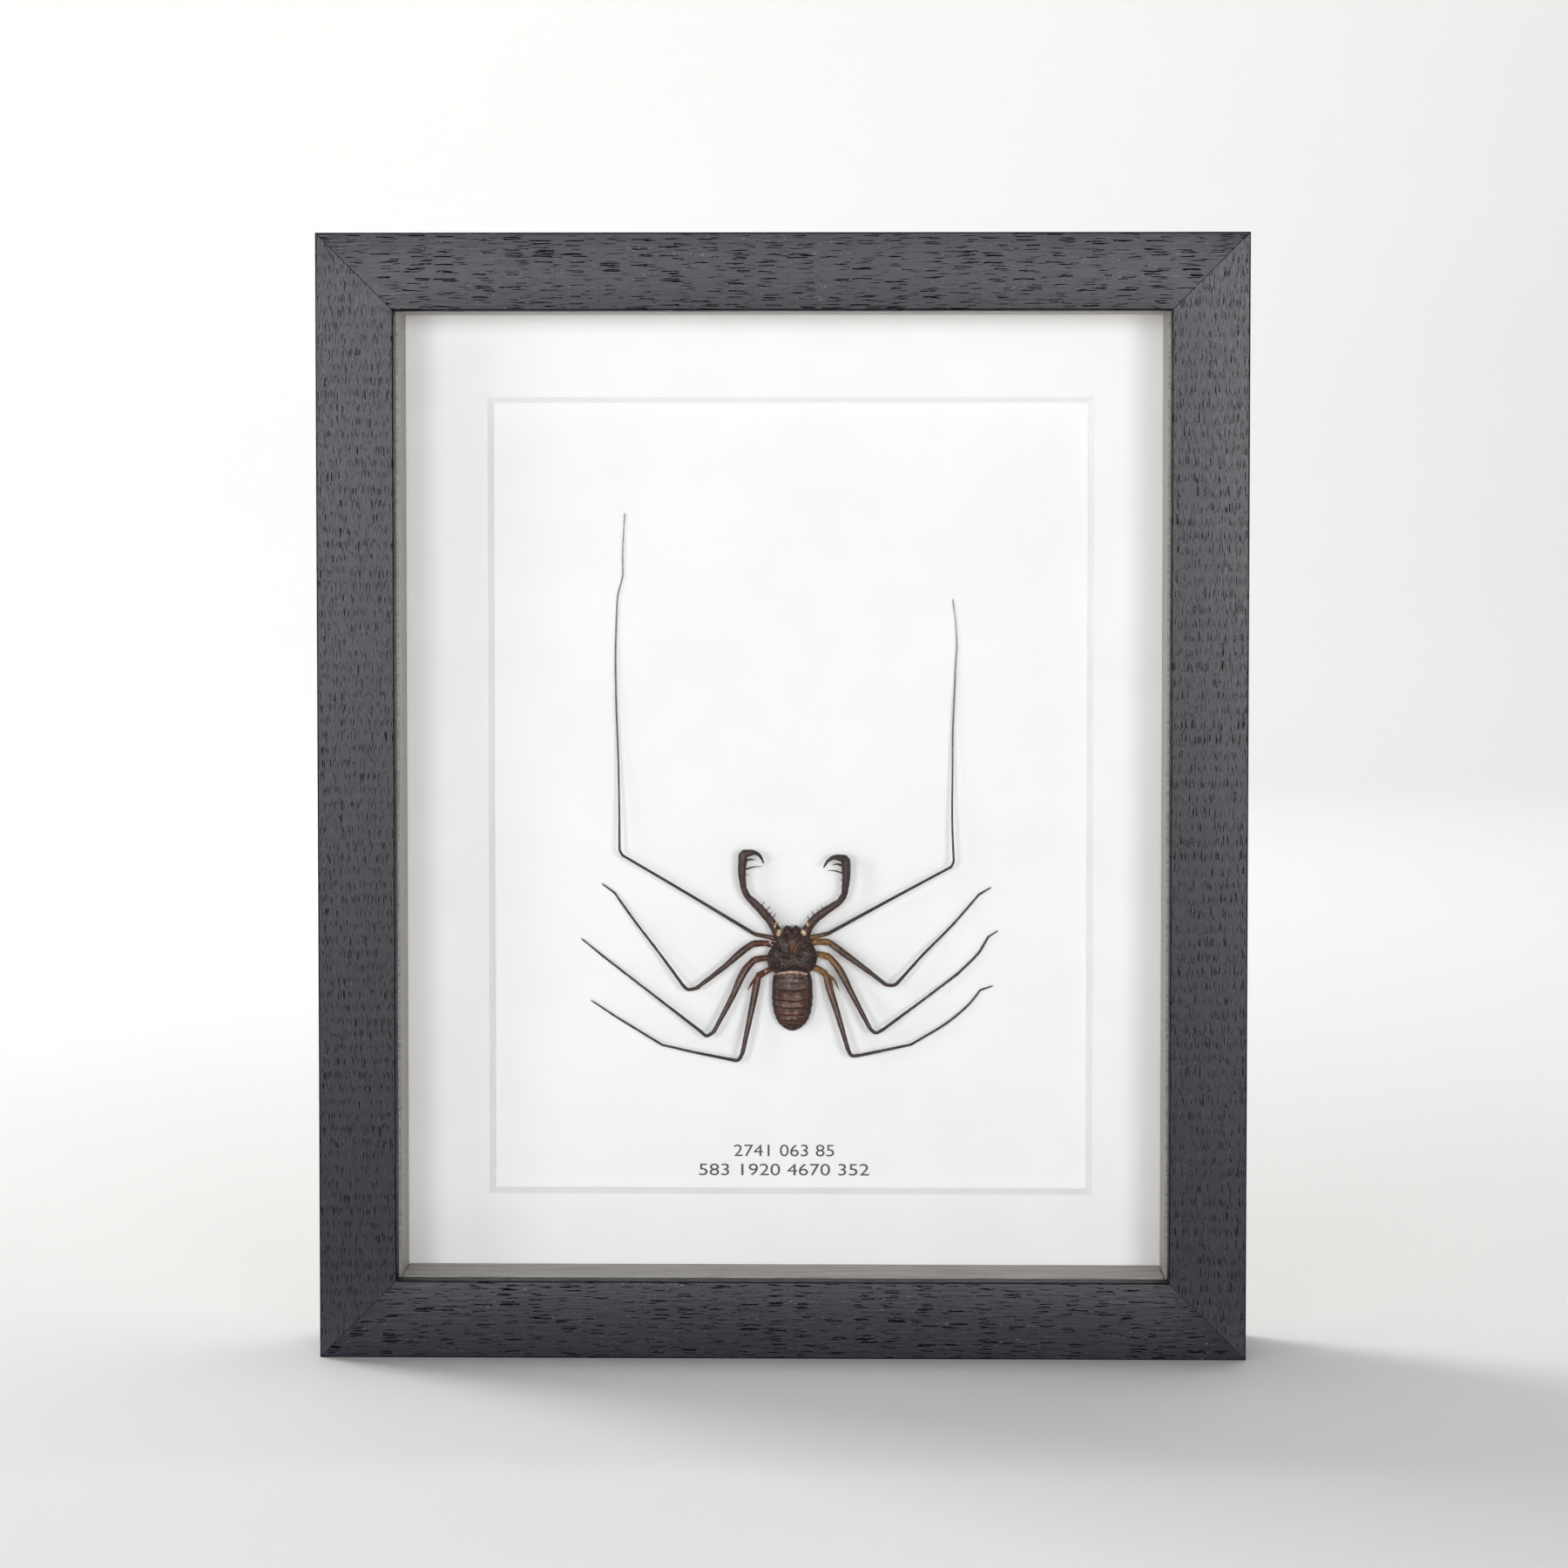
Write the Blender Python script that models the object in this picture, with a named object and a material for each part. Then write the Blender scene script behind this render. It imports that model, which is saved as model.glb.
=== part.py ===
"""Box-framed whip spider specimen, one object for each real piece.

Lengths are in metres. The frame stands on its bottom rail: +Z is up, the glazed front
faces -Y, and the origin is in the middle of the bottom face, at half the depth.
"""
import math

import bmesh
import bpy
from mathutils import Vector

MM = 0.001

# The moulding: four mitred lengths round a 200 x 251 mm sight opening
FRAME_WIDTH = 240 * MM
FRAME_HEIGHT = 291 * MM
FRAME_DEPTH = 36 * MM
MOULDING_FACE = 20 * MM
REBATE_WIDTH = 5 * MM
LIP_DEPTH = 6 * MM
EDGE_ROUND = 0.8 * MM
EDGE_STEPS = 3

# Every piece keeps this distance to the one that it touches
CLEARANCE = 0.3 * MM

# What lies in the rebate, from the glass back to the board
GLASS_THICKNESS = 2.0 * MM
SPACER_DEPTH = 18.5 * MM
MOUNT_THICKNESS = 1.4 * MM
CARD_THICKNESS = 1.2 * MM
BOARD_THICKNESS = 2.5 * MM
SHEET_INSET = MOULDING_FACE - REBATE_WIDTH + CLEARANCE

# How far in each fillet between glass and mount reaches. Two stand proud of the lip.
SPACER_REACH = {"bottom": 20 * MM, "right": 20.5 * MM, "top": 20 * MM, "left": 20.5 * MM}

GLASS_FRONT = LIP_DEPTH + CLEARANCE
SPACER_FRONT = GLASS_FRONT + GLASS_THICKNESS + CLEARANCE
MOUNT_FRONT = SPACER_FRONT + SPACER_DEPTH + CLEARANCE
CARD_FRONT = MOUNT_FRONT + MOUNT_THICKNESS + CLEARANCE
BOARD_FRONT = CARD_FRONT + CARD_THICKNESS + CLEARANCE
POINT_FRONT = BOARD_FRONT + BOARD_THICKNESS + CLEARANCE

# The window cut in the mount, measured on the mount's front
WINDOW_LEFT = -78.0 * MM
WINDOW_RIGHT = 81.5 * MM
WINDOW_BOTTOM = 38.7 * MM
WINDOW_TOP = 249.4 * MM

# The framing points, two to a side, each driven into the rebate's wall
POINT_WIDTH = 6 * MM
POINT_THICKNESS = 0.5 * MM
POINT_TIP_INSET = 12 * MM
POINT_SHOULDER_INSET = 14.4 * MM
POINT_TAIL_INSET = 25 * MM
POINT_SPREAD_ON_RAILS = 52 * MM
POINT_SPREAD_ON_STILES = 68 * MM

# The sawtooth hanger on the back of the top rail
HANGER_WIDTH = 45 * MM
HANGER_HEIGHT = 9 * MM
HANGER_THICKNESS = 0.8 * MM
HANGER_FOOT = 8 * MM
HANGER_STEP = 1.5 * MM
HANGER_LIFT = 1.4 * MM
HANGER_TEETH = 14
TOOTH_HEIGHT = 1.3 * MM
HANGER_TOP_INSET = 3 * MM

# The specimen's own axes: across, up along the body, and height off the card. They
# start at the middle of the head shield, and its rows of points are in millimetres.
SPECIMEN_ACROSS = 1.75 * MM
SPECIMEN_UP = 101.0 * MM
LIMB_SIDES = 8
SPINE_SIDES = 4

# Outline of the head shield (across, up), kidney-shaped, and its thickness
SHIELD_OUTLINE = (
    (0.7, 7.2), (-1.9, 7.3), (-3.5, 6.7), (-4.1, 4.5), (-5.6, 2.5), (-6.1, 0.1),
    (-5.3, -2.2), (-3.0, -3.3), (0.4, -2.6), (3.8, -3.2), (6.0, -2.3), (7.0, 0.4),
    (6.6, 2.9), (5.5, 4.9), (4.9, 6.7), (3.1, 7.3),
)
SHIELD_OUTLINE_POINTS = 28
SHIELD_HEIGHT = 4.0
SHIELD_RISE = 1.9
SHIELD_DROP = 2.6
SHIELD_TILTS = (-72, -45, -18, 8, 26, 42, 56, 69, 80)

# Lobes and pits on the head shield as rows of (across, up, reach, rise)
SHIELD_RELIEF = (
    (-3.6, 0.0, 2.0, 0.5), (4.6, 0.2, 2.0, 0.5), (0.7, 4.6, 2.2, 0.35),
    (-2.9, 3.7, 1.3, 0.3), (4.0, 4.0, 1.3, 0.3), (0.5, -0.3, 1.0, -0.7),
    (-1.5, 1.8, 0.8, -0.4), (2.7, 2.0, 0.8, -0.4), (0.5, -2.2, 0.9, -0.3),
)

# The abdomen as rows of (up, half width, half thickness), and the furrows between its
# back plates
ABDOMEN_ROWS = (
    (-2.0, 2.4, 1.0), (-3.2, 4.6, 2.0), (-5.0, 5.2, 2.4), (-8.0, 5.35, 2.6),
    (-11.5, 5.25, 2.5), (-14.5, 4.6, 2.2), (-16.6, 3.5, 1.7), (-17.9, 2.2, 1.2),
    (-18.6, 0.8, 0.5),
)
ABDOMEN_FURROWS = (-4.3, -6.4, -8.2, -10.8, -13.0, -15.1, -16.8)
ABDOMEN_ACROSS = 0.5
ABDOMEN_HEIGHT = 3.0
ABDOMEN_SIDES = 14
FURROW_DEPTH = 0.14
FURROW_WIDTH = 0.5

# The limbs, each as rows of (across, up, height, radius) from the body to the tip
LEFT_LIMBS = {
    "pedipalp": (
        (-2.6, 5.6, 3.3, 1.3), (-3.9, 8.8, 3.9, 1.4), (-5.6, 10.9, 4.2, 1.35),
        (-8.0, 13.6, 4.7, 1.4), (-11.0, 16.9, 5.2, 1.0), (-12.3, 18.9, 5.4, 0.95),
        (-12.6, 23.1, 5.5, 1.05), (-12.4, 27.5, 5.5, 1.3), (-11.3, 28.9, 5.5, 1.05),
        (-9.5, 29.1, 5.4, 0.6), (-7.9, 28.0, 5.2, 0.38), (-6.9, 25.8, 5.0, 0.16),
    ),
    "whip_leg": (
        (-3.3, 5.6, 3.2, 0.7), (-5.6, 6.2, 3.6, 0.62), (-9.2, 6.9, 3.9, 0.5),
        (-26.7, 17.6, 5.2, 0.4), (-44.2, 27.9, 5.2, 0.34), (-45.0, 29.3, 5.2, 0.32),
        (-45.1, 38.8, 4.0, 0.28), (-45.3, 49.0, 2.8, 0.26), (-46.1, 71.9, 1.3, 0.23),
        (-46.2, 81.0, 0.9, 0.21), (-45.9, 90.7, 0.7, 0.2), (-45.6, 96.1, 0.7, 0.18),
        (-44.3, 101.5, 0.7, 0.17), (-44.3, 106.7, 0.7, 0.16), (-44.0, 113.2, 0.7, 0.15),
        (-43.7, 117.9, 0.7, 0.13),
    ),
    "second_leg": (
        (-4.1, 3.9, 2.7, 0.8), (-6.7, 4.5, 3.2, 0.8), (-9.8, 4.5, 4.0, 0.85),
        (-11.8, 3.2, 4.5, 0.95), (-17.0, -1.2, 5.6, 0.75), (-24.7, -7.1, 6.4, 0.5),
        (-27.1, -7.4, 6.2, 0.45), (-28.4, -6.2, 5.9, 0.42), (-34.3, 1.6, 4.2, 0.34),
        (-40.8, 9.8, 2.4, 0.3), (-46.6, 17.6, 0.8, 0.26), (-49.5, 19.7, 0.6, 0.18),
    ),
    "third_leg": (
        (-4.3, 0.6, 2.7, 0.8), (-6.9, 0.6, 3.2, 0.8), (-9.6, 0.2, 4.0, 0.85),
        (-11.5, -1.9, 4.4, 1.0), (-15.3, -9.5, 5.6, 0.8), (-20.2, -18.7, 6.4, 0.52),
        (-22.1, -19.7, 6.3, 0.45), (-23.8, -18.4, 6.0, 0.42), (-36.6, -8.9, 3.4, 0.32),
        (-49.7, 0.8, 0.8, 0.26), (-55.0, 5.1, 0.6, 0.18),
    ),
    "fourth_leg": (
        (-3.7, -1.5, 2.7, 0.8), (-6.5, -3.0, 3.2, 0.8), (-8.5, -4.1, 3.8, 0.85),
        (-9.0, -6.7, 4.2, 0.95), (-10.5, -14.3, 5.6, 0.8), (-12.6, -24.3, 6.4, 0.55),
        (-13.8, -26.1, 6.3, 0.48), (-16.0, -25.9, 6.1, 0.42), (-24.5, -24.4, 4.8, 0.34),
        (-33.8, -22.5, 3.4, 0.3), (-46.0, -15.5, 0.9, 0.26), (-52.4, -11.3, 0.6, 0.18),
    ),
    "fang": ((-0.6, 6.0, 3.3, 0.9), (-0.6, 8.6, 3.1, 0.95), (-0.5, 9.8, 2.9, 0.5)),
}
RIGHT_LIMBS = {
    "pedipalp": (
        (3.2, 5.6, 3.3, 1.3), (4.5, 8.8, 3.9, 1.4), (6.1, 10.7, 4.2, 1.35),
        (9.3, 13.1, 4.7, 1.3), (12.9, 15.7, 5.2, 1.0), (14.3, 17.4, 5.4, 0.95),
        (14.8, 21.8, 5.5, 1.0), (14.7, 26.2, 5.5, 1.25), (13.9, 27.8, 5.5, 1.0),
        (11.7, 28.0, 5.4, 0.6), (9.8, 26.6, 5.2, 0.38), (8.6, 24.6, 5.0, 0.16),
    ),
    "whip_leg": (
        (4.1, 5.8, 3.2, 0.7), (6.7, 6.4, 3.6, 0.62), (10.0, 7.2, 3.9, 0.5),
        (26.3, 16.3, 5.2, 0.4), (42.4, 25.0, 5.2, 0.34), (43.0, 26.3, 5.2, 0.32),
        (42.6, 37.8, 4.0, 0.28), (42.7, 49.1, 2.8, 0.26), (42.8, 61.4, 1.6, 0.24),
        (43.3, 72.5, 1.0, 0.22), (43.5, 78.1, 0.8, 0.2), (43.8, 82.2, 0.7, 0.18),
        (43.6, 87.9, 0.7, 0.16), (42.7, 95.3, 0.7, 0.13),
    ),
    "second_leg": (
        (4.7, 4.3, 2.7, 0.8), (7.3, 4.9, 3.2, 0.8), (10.2, 4.9, 4.0, 0.85),
        (12.5, 3.2, 4.5, 0.95), (17.9, -0.6, 5.6, 0.75), (25.3, -6.1, 6.4, 0.5),
        (27.6, -6.1, 6.2, 0.45), (28.9, -4.9, 5.9, 0.42), (35.2, 1.9, 4.2, 0.34),
        (42.6, 9.2, 2.4, 0.3), (49.8, 17.3, 0.8, 0.26), (52.5, 18.9, 0.6, 0.18),
    ),
    "third_leg": (
        (5.1, 1.6, 2.7, 0.8), (7.7, 1.6, 3.2, 0.8), (10.3, 1.0, 4.0, 0.85),
        (12.2, -1.3, 4.4, 1.0), (16.3, -8.7, 5.6, 0.8), (21.1, -17.8, 6.4, 0.52),
        (22.6, -18.8, 6.3, 0.45), (24.4, -18.0, 6.0, 0.42), (33.9, -11.2, 3.8, 0.34),
        (44.3, -3.5, 2.0, 0.3), (50.1, 2.4, 0.9, 0.28), (52.2, 6.0, 0.7, 0.24),
        (54.4, 7.4, 0.6, 0.18),
    ),
    "fourth_leg": (
        (4.5, -1.3, 2.7, 0.8), (7.2, -2.2, 3.2, 0.8), (9.3, -3.5, 3.8, 0.85),
        (10.0, -6.1, 4.2, 0.95), (12.4, -13.7, 5.6, 0.8), (15.2, -23.2, 6.4, 0.55),
        (16.2, -24.8, 6.3, 0.48), (18.3, -24.8, 6.1, 0.42), (31.9, -22.2, 3.8, 0.32),
        (43.1, -15.3, 2.0, 0.3), (48.0, -10.9, 0.9, 0.26), (50.1, -8.1, 0.7, 0.24),
        (53.0, -7.1, 0.6, 0.18),
    ),
    "fang": ((1.4, 6.0, 3.3, 0.9), (1.4, 8.6, 3.1, 0.95), (1.3, 9.8, 2.9, 0.5)),
}

# Spines of the pedipalps, as (root, tip, root radius), root and tip as above
LEFT_SPINES = (
    ((-12.0, 26.1, 5.5), (-9.0, 27.2, 5.2), 0.3),
    ((-12.0, 24.2, 5.5), (-7.2, 25.5, 5.0), 0.32),
    ((-8.2, 14.3, 4.9), (-7.2, 15.9, 5.2), 0.22),
    ((-7.0, 13.1, 4.8), (-6.0, 14.7, 5.1), 0.22),
    ((-5.0, 11.5, 4.5), (-3.8, 13.3, 4.9), 0.25),
)
RIGHT_SPINES = (
    ((14.3, 24.9, 5.5), (10.8, 26.5, 5.2), 0.3),
    ((14.3, 23.3, 5.5), (9.5, 24.5, 5.0), 0.32),
    ((8.9, 13.7, 4.9), (8.1, 15.2, 5.2), 0.22),
    ((6.7, 12.1, 4.8), (5.5, 13.6, 5.1), 0.22),
    ((5.3, 10.9, 4.5), (4.3, 12.3, 4.9), 0.25),
)
SPINE_TIP_RADIUS = 0.08

SIDES = ("bottom", "right", "top", "left")


def clear_scene():
    for obj in list(bpy.data.objects):
        bpy.data.objects.remove(obj, do_unlink=True)


def material(name, colour, roughness, metallic=0.0, transmission=0.0):
    """A Principled material with the piece's colour and shine."""
    result = bpy.data.materials.new(name)
    result.use_nodes = True
    shader = result.node_tree.nodes["Principled BSDF"]
    shader.inputs["Base Color"].default_value = (*colour, 1.0)
    shader.inputs["Roughness"].default_value = roughness
    shader.inputs["Metallic"].default_value = metallic
    shader.inputs["Transmission Weight"].default_value = transmission
    return result


def new_piece(name, bm, piece_material):
    """Closes a bmesh into the named object of one physical piece."""
    bmesh.ops.recalc_face_normals(bm, faces=bm.faces)
    mesh = bpy.data.meshes.new(name)
    bm.to_mesh(mesh)
    bm.free()
    mesh.materials.append(piece_material)
    piece = bpy.data.objects.new(name, mesh)
    bpy.context.scene.collection.objects.link(piece)
    return piece


def shade_round(piece, angle=math.radians(35)):
    piece.data.shade_smooth()
    piece.data.set_sharp_from_angle(angle=angle)


def combine(piece, others, operation):
    """Unites the other objects with a piece, or cuts them from it, for good."""
    for other in others:
        step = piece.modifiers.new(operation.lower(), "BOOLEAN")
        step.operation = operation
        step.solver = "EXACT"
        step.object = other
    depsgraph = bpy.context.evaluated_depsgraph_get()
    mesh = bpy.data.meshes.new_from_object(piece.evaluated_get(depsgraph))
    mesh.name = piece.name
    piece.modifiers.clear()
    piece.data = mesh
    for other in others:
        bpy.data.objects.remove(other, do_unlink=True)


def skin_loops(bm, loops, closed=False):
    """Joins loops of equal length with quads; an open stack gets a face at each end."""
    rings = [[bm.verts.new(point) for point in loop] for loop in loops]
    following = rings[1:] + rings[:1] if closed else rings[1:]
    for ring, following_ring in zip(rings, following):
        count = len(ring)
        for i in range(count):
            j = (i + 1) % count
            bm.faces.new((ring[i], ring[j], following_ring[j], following_ring[i]))
    if not closed:
        bm.faces.new(rings[0])
        bm.faces.new(rings[-1])


# Places on the frame

def side_run(side):
    """Half the outer length of one side of the frame."""
    return (FRAME_WIDTH if side in ("bottom", "top") else FRAME_HEIGHT) / 2


def on_side(side, along, inset, depth):
    """A point on one side of the frame, as if that side were the bottom one.

    along runs to the right from the side's middle, inset goes in from the outer face,
    and depth goes back from the front.
    """
    side_reach = (FRAME_HEIGHT if side in ("bottom", "top") else FRAME_WIDTH) / 2
    across, up = along, inset - side_reach
    for _ in range(SIDES.index(side)):
        across, up = -up, across
    return Vector((across, depth - FRAME_DEPTH / 2, up + FRAME_HEIGHT / 2))


def side_prism(side, outline, front, back):
    """A bmesh of an (along, inset) outline that runs from one depth to another."""
    bm = bmesh.new()
    skin_loops(bm, [
        [on_side(side, along, inset, depth) for along, inset in outline]
        for depth in (front, back)
    ])
    return bm


def rectangle(half_along, inset_low, inset_high, middle=0.0):
    low, high = middle - half_along, middle + half_along
    return ((low, inset_low), (high, inset_low), (high, inset_high), (low, inset_high))


def sheet(name, front, thickness, sheet_material):
    """A full sheet that lies in the rebate."""
    outline = rectangle(side_run("bottom") - SHEET_INSET, SHEET_INSET, FRAME_HEIGHT - SHEET_INSET)
    return new_piece(name, side_prism("bottom", outline, front, front + thickness), sheet_material)


# The moulding

def rounded_edge(centre, start, end):
    """Points of a rounded edge in the section, angles in degrees."""
    points = []
    for step in range(EDGE_STEPS + 1):
        angle = math.radians(start + (end - start) * step / EDGE_STEPS)
        inset = centre[0] + EDGE_ROUND * math.cos(angle)
        depth = centre[1] + EDGE_ROUND * math.sin(angle)
        points.append((inset, depth))
    return points


def moulding_section():
    """The moulding's section: a flat face with soft edges, and the rebate behind it."""
    rebate_wall = MOULDING_FACE - REBATE_WIDTH
    section = rounded_edge((EDGE_ROUND, EDGE_ROUND), 180, 270)
    section += rounded_edge((MOULDING_FACE - EDGE_ROUND, EDGE_ROUND), 270, 360)
    section += [(MOULDING_FACE, LIP_DEPTH), (rebate_wall, LIP_DEPTH)]
    section += [(rebate_wall, FRAME_DEPTH), (0.0, FRAME_DEPTH)]
    return section


def point_places(side):
    """Where the two framing points of a side sit along it."""
    on_rail = side in ("bottom", "top")
    spread = POINT_SPREAD_ON_RAILS if on_rail else POINT_SPREAD_ON_STILES
    return (-spread, spread)


def moulding(name, side, wood):
    """One mitred length of moulding, with the slots that its framing points are in."""
    mitre_setback = CLEARANCE / math.sqrt(2)
    bm = bmesh.new()
    skin_loops(bm, [
        [
            on_side(side, end * (side_run(side) - inset - mitre_setback), inset, depth)
            for inset, depth in moulding_section()
        ]
        for end in (-1, 1)
    ])
    piece = new_piece(name, bm, wood)
    slots = []
    for place in point_places(side):
        outline = rectangle(
            POINT_WIDTH / 2 + CLEARANCE,
            POINT_TIP_INSET - CLEARANCE,
            MOULDING_FACE,
            place,
        )
        slot_back = POINT_FRONT + POINT_THICKNESS + CLEARANCE
        slot = side_prism(side, outline, POINT_FRONT - CLEARANCE, slot_back)
        slots.append(new_piece("slot", slot, wood))
    combine(piece, slots, "DIFFERENCE")
    shade_round(piece)
    return piece


# What lies in the rebate

def spacer(side, wood):
    """A fillet between glass and mount. The stiles' fillets run through, the rails' butt."""
    ends_inset = SHEET_INSET
    if side in ("bottom", "top"):
        ends_inset = SPACER_REACH["left"] + CLEARANCE
    outline = rectangle(side_run(side) - ends_inset, SHEET_INSET, SPACER_REACH[side])
    bm = side_prism(side, outline, SPACER_FRONT, SPACER_FRONT + SPACER_DEPTH)
    return new_piece("spacer_" + side, bm, wood)


def window_mount(board):
    """The mount board, its window cut at 45 degrees so that the white core shows."""
    def loop(left, right, bottom, top, depth):
        y = depth - FRAME_DEPTH / 2
        return [(left, y, bottom), (right, y, bottom), (right, y, top), (left, y, top)]

    half_width = FRAME_WIDTH / 2 - SHEET_INSET
    bottom = SHEET_INSET
    top = FRAME_HEIGHT - SHEET_INSET
    back = MOUNT_FRONT + MOUNT_THICKNESS
    bevel = MOUNT_THICKNESS
    bm = bmesh.new()
    skin_loops(bm, [
        loop(-half_width, half_width, bottom, top, MOUNT_FRONT),
        loop(WINDOW_LEFT, WINDOW_RIGHT, WINDOW_BOTTOM, WINDOW_TOP, MOUNT_FRONT),
        loop(
            WINDOW_LEFT + bevel, WINDOW_RIGHT - bevel,
            WINDOW_BOTTOM + bevel, WINDOW_TOP - bevel, back,
        ),
        loop(-half_width, half_width, bottom, top, back),
    ], closed=True)
    return new_piece("window_mount", bm, board)


def framing_point(side, number, place, steel):
    """A flat steel point: its nose is in the moulding, its tail lies over the board."""
    half = POINT_WIDTH / 2
    outline = (
        (place - half, POINT_TAIL_INSET),
        (place - half, POINT_SHOULDER_INSET),
        (place, POINT_TIP_INSET),
        (place + half, POINT_SHOULDER_INSET),
        (place + half, POINT_TAIL_INSET),
    )
    bm = side_prism(side, outline, POINT_FRONT, POINT_FRONT + POINT_THICKNESS)
    return new_piece("framing_point_%s_%d" % (side, number), bm, steel)


def sawtooth_hanger(steel):
    """A bent strip with teeth along its lower edge, flat feet at both ends."""
    top = FRAME_HEIGHT - HANGER_TOP_INSET
    bottom = top - HANGER_HEIGHT
    seat = FRAME_DEPTH / 2 + CLEARANCE
    half = HANGER_WIDTH / 2
    half_raised = half - HANGER_FOOT - HANGER_STEP
    stations = [(-half, 0.0, bottom), (-half + HANGER_FOOT, 0.0, bottom)]
    for tooth in range(2 * HANGER_TEETH + 1):
        across = half_raised * (tooth / HANGER_TEETH - 1)
        root = TOOTH_HEIGHT if tooth % 2 else 0.0
        stations.append((across, HANGER_LIFT, bottom + root))
    stations += [(half - HANGER_FOOT, 0.0, bottom), (half, 0.0, bottom)]
    bm = bmesh.new()
    skin_loops(bm, [
        [
            (across, seat + lift, low),
            (across, seat + lift + HANGER_THICKNESS, low),
            (across, seat + lift + HANGER_THICKNESS, top),
            (across, seat + lift, top),
        ]
        for across, lift, low in stations
    ])
    return new_piece("sawtooth_hanger", bm, steel)


# The whip spider

def on_card(across, up, height):
    """A place on the specimen, given in millimetres on the specimen's own axes."""
    card_y = CARD_FRONT - FRAME_DEPTH / 2
    return Vector((SPECIMEN_ACROSS + across * MM, card_y - height * MM, SPECIMEN_UP + up * MM))


def limb_rings(rows, sides):
    """Rings of a tapered limb. A ring at a bend stands across both of its runs."""
    places = [on_card(*row[:3]) for row in rows]
    rings = []
    for i, row in enumerate(rows):
        before = places[max(i - 1, 0)]
        after = places[min(i + 1, len(rows) - 1)]
        run = (places[i] - before).normalized() + (after - places[i]).normalized()
        run.normalize()
        off_card = Vector((0, -1, 0))
        off_card = (off_card - run * off_card.dot(run)).normalized()
        beside = run.cross(off_card)
        ring = []
        for side in range(sides):
            angle = math.tau * (side + 0.5) / sides
            offset = off_card * math.cos(angle) + beside * math.sin(angle)
            ring.append(places[i] + offset * row[3] * MM)
        rings.append(ring)
    return rings


def limb(rows, chitin, sides=LIMB_SIDES):
    bm = bmesh.new()
    skin_loops(bm, limb_rings(rows, sides))
    return new_piece("limb", bm, chitin)


def spine(root, tip, root_radius, chitin):
    return limb(((*root, root_radius), (*tip, SPINE_TIP_RADIUS)), chitin, SPINE_SIDES)


def smooth_outline(points, count):
    """A closed smooth curve through the points, read at evenly spread places."""
    result = []
    for step in range(count):
        place = step * len(points) / count
        i = int(place)
        t = place - i
        a, b, c, d = (Vector(points[(i + k) % len(points)]) for k in (-1, 0, 1, 2))
        curve = 2 * b + (c - a) * t + (2 * a - 5 * b + 4 * c - d) * t ** 2
        curve += (3 * b - a - 3 * c + d) * t ** 3
        result.append(curve / 2)
    return result


def shield_relief(across, up):
    """How far the lobes and pits lift the shield at one place."""
    lift = 0.0
    for lobe_across, lobe_up, reach, rise in SHIELD_RELIEF:
        distance = math.hypot(across - lobe_across, up - lobe_up)
        lift += rise * math.exp(-(distance / reach) ** 2)
    return lift


def head_shield(chitin):
    """The shield over the front body: a low dome above, the leg roots' mass below."""
    outline = smooth_outline(SHIELD_OUTLINE, SHIELD_OUTLINE_POINTS)
    middle = sum(outline, Vector((0, 0))) / len(outline)
    rings = []
    for tilt in SHIELD_TILTS:
        size = math.cos(math.radians(tilt))
        part = math.sin(math.radians(tilt))
        ring = []
        for point in outline:
            across, up = middle + (point - middle) * size
            lift = part * SHIELD_DROP
            if part > 0:
                lift = part * (SHIELD_RISE + shield_relief(across, up))
            ring.append(on_card(across, up, SHIELD_HEIGHT + lift))
        rings.append(ring)
    bm = bmesh.new()
    skin_loops(bm, rings)
    return new_piece("head_shield", bm, chitin)


def abdomen_size(up):
    """Half width and half thickness of the abdomen, between its rows and in furrows."""
    for row, following in zip(ABDOMEN_ROWS, ABDOMEN_ROWS[1:]):
        if following[0] <= up <= row[0]:
            part = (row[0] - up) / (row[0] - following[0])
            half_width = row[1] + (following[1] - row[1]) * part
            half_thickness = row[2] + (following[2] - row[2]) * part
            break
    furrow = FURROW_DEPTH if up in ABDOMEN_FURROWS else 0.0
    return half_width - furrow, half_thickness - furrow


def abdomen(chitin):
    """The abdomen, drawn in a little at each furrow between two back plates."""
    stations = {row[0] for row in ABDOMEN_ROWS}
    for furrow in ABDOMEN_FURROWS:
        stations = {up for up in stations if abs(up - furrow) > FURROW_WIDTH / 2}
        stations |= {furrow - FURROW_WIDTH / 2, furrow, furrow + FURROW_WIDTH / 2}
    rings = []
    for up in sorted(stations, reverse=True):
        half_width, half_thickness = abdomen_size(up)
        ring = []
        for side in range(ABDOMEN_SIDES):
            angle = math.tau * side / ABDOMEN_SIDES
            across = ABDOMEN_ACROSS + half_width * math.cos(angle)
            height = ABDOMEN_HEIGHT + half_thickness * math.sin(angle)
            ring.append(on_card(across, up, height))
        rings.append(ring)
    bm = bmesh.new()
    skin_loops(bm, rings)
    return new_piece("abdomen", bm, chitin)


def whip_spider(chitin):
    """The whole animal as the one body that it grew as."""
    body = head_shield(chitin)
    body.name = "whip_spider"
    grown_on = [abdomen(chitin)]
    for limbs in (LEFT_LIMBS, RIGHT_LIMBS):
        grown_on += [limb(rows, chitin) for rows in limbs.values()]
    for spines in (LEFT_SPINES, RIGHT_SPINES):
        grown_on += [spine(root, tip, radius, chitin) for root, tip, radius in spines]
    combine(body, grown_on, "UNION")
    shade_round(body, math.radians(50))
    return body


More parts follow.
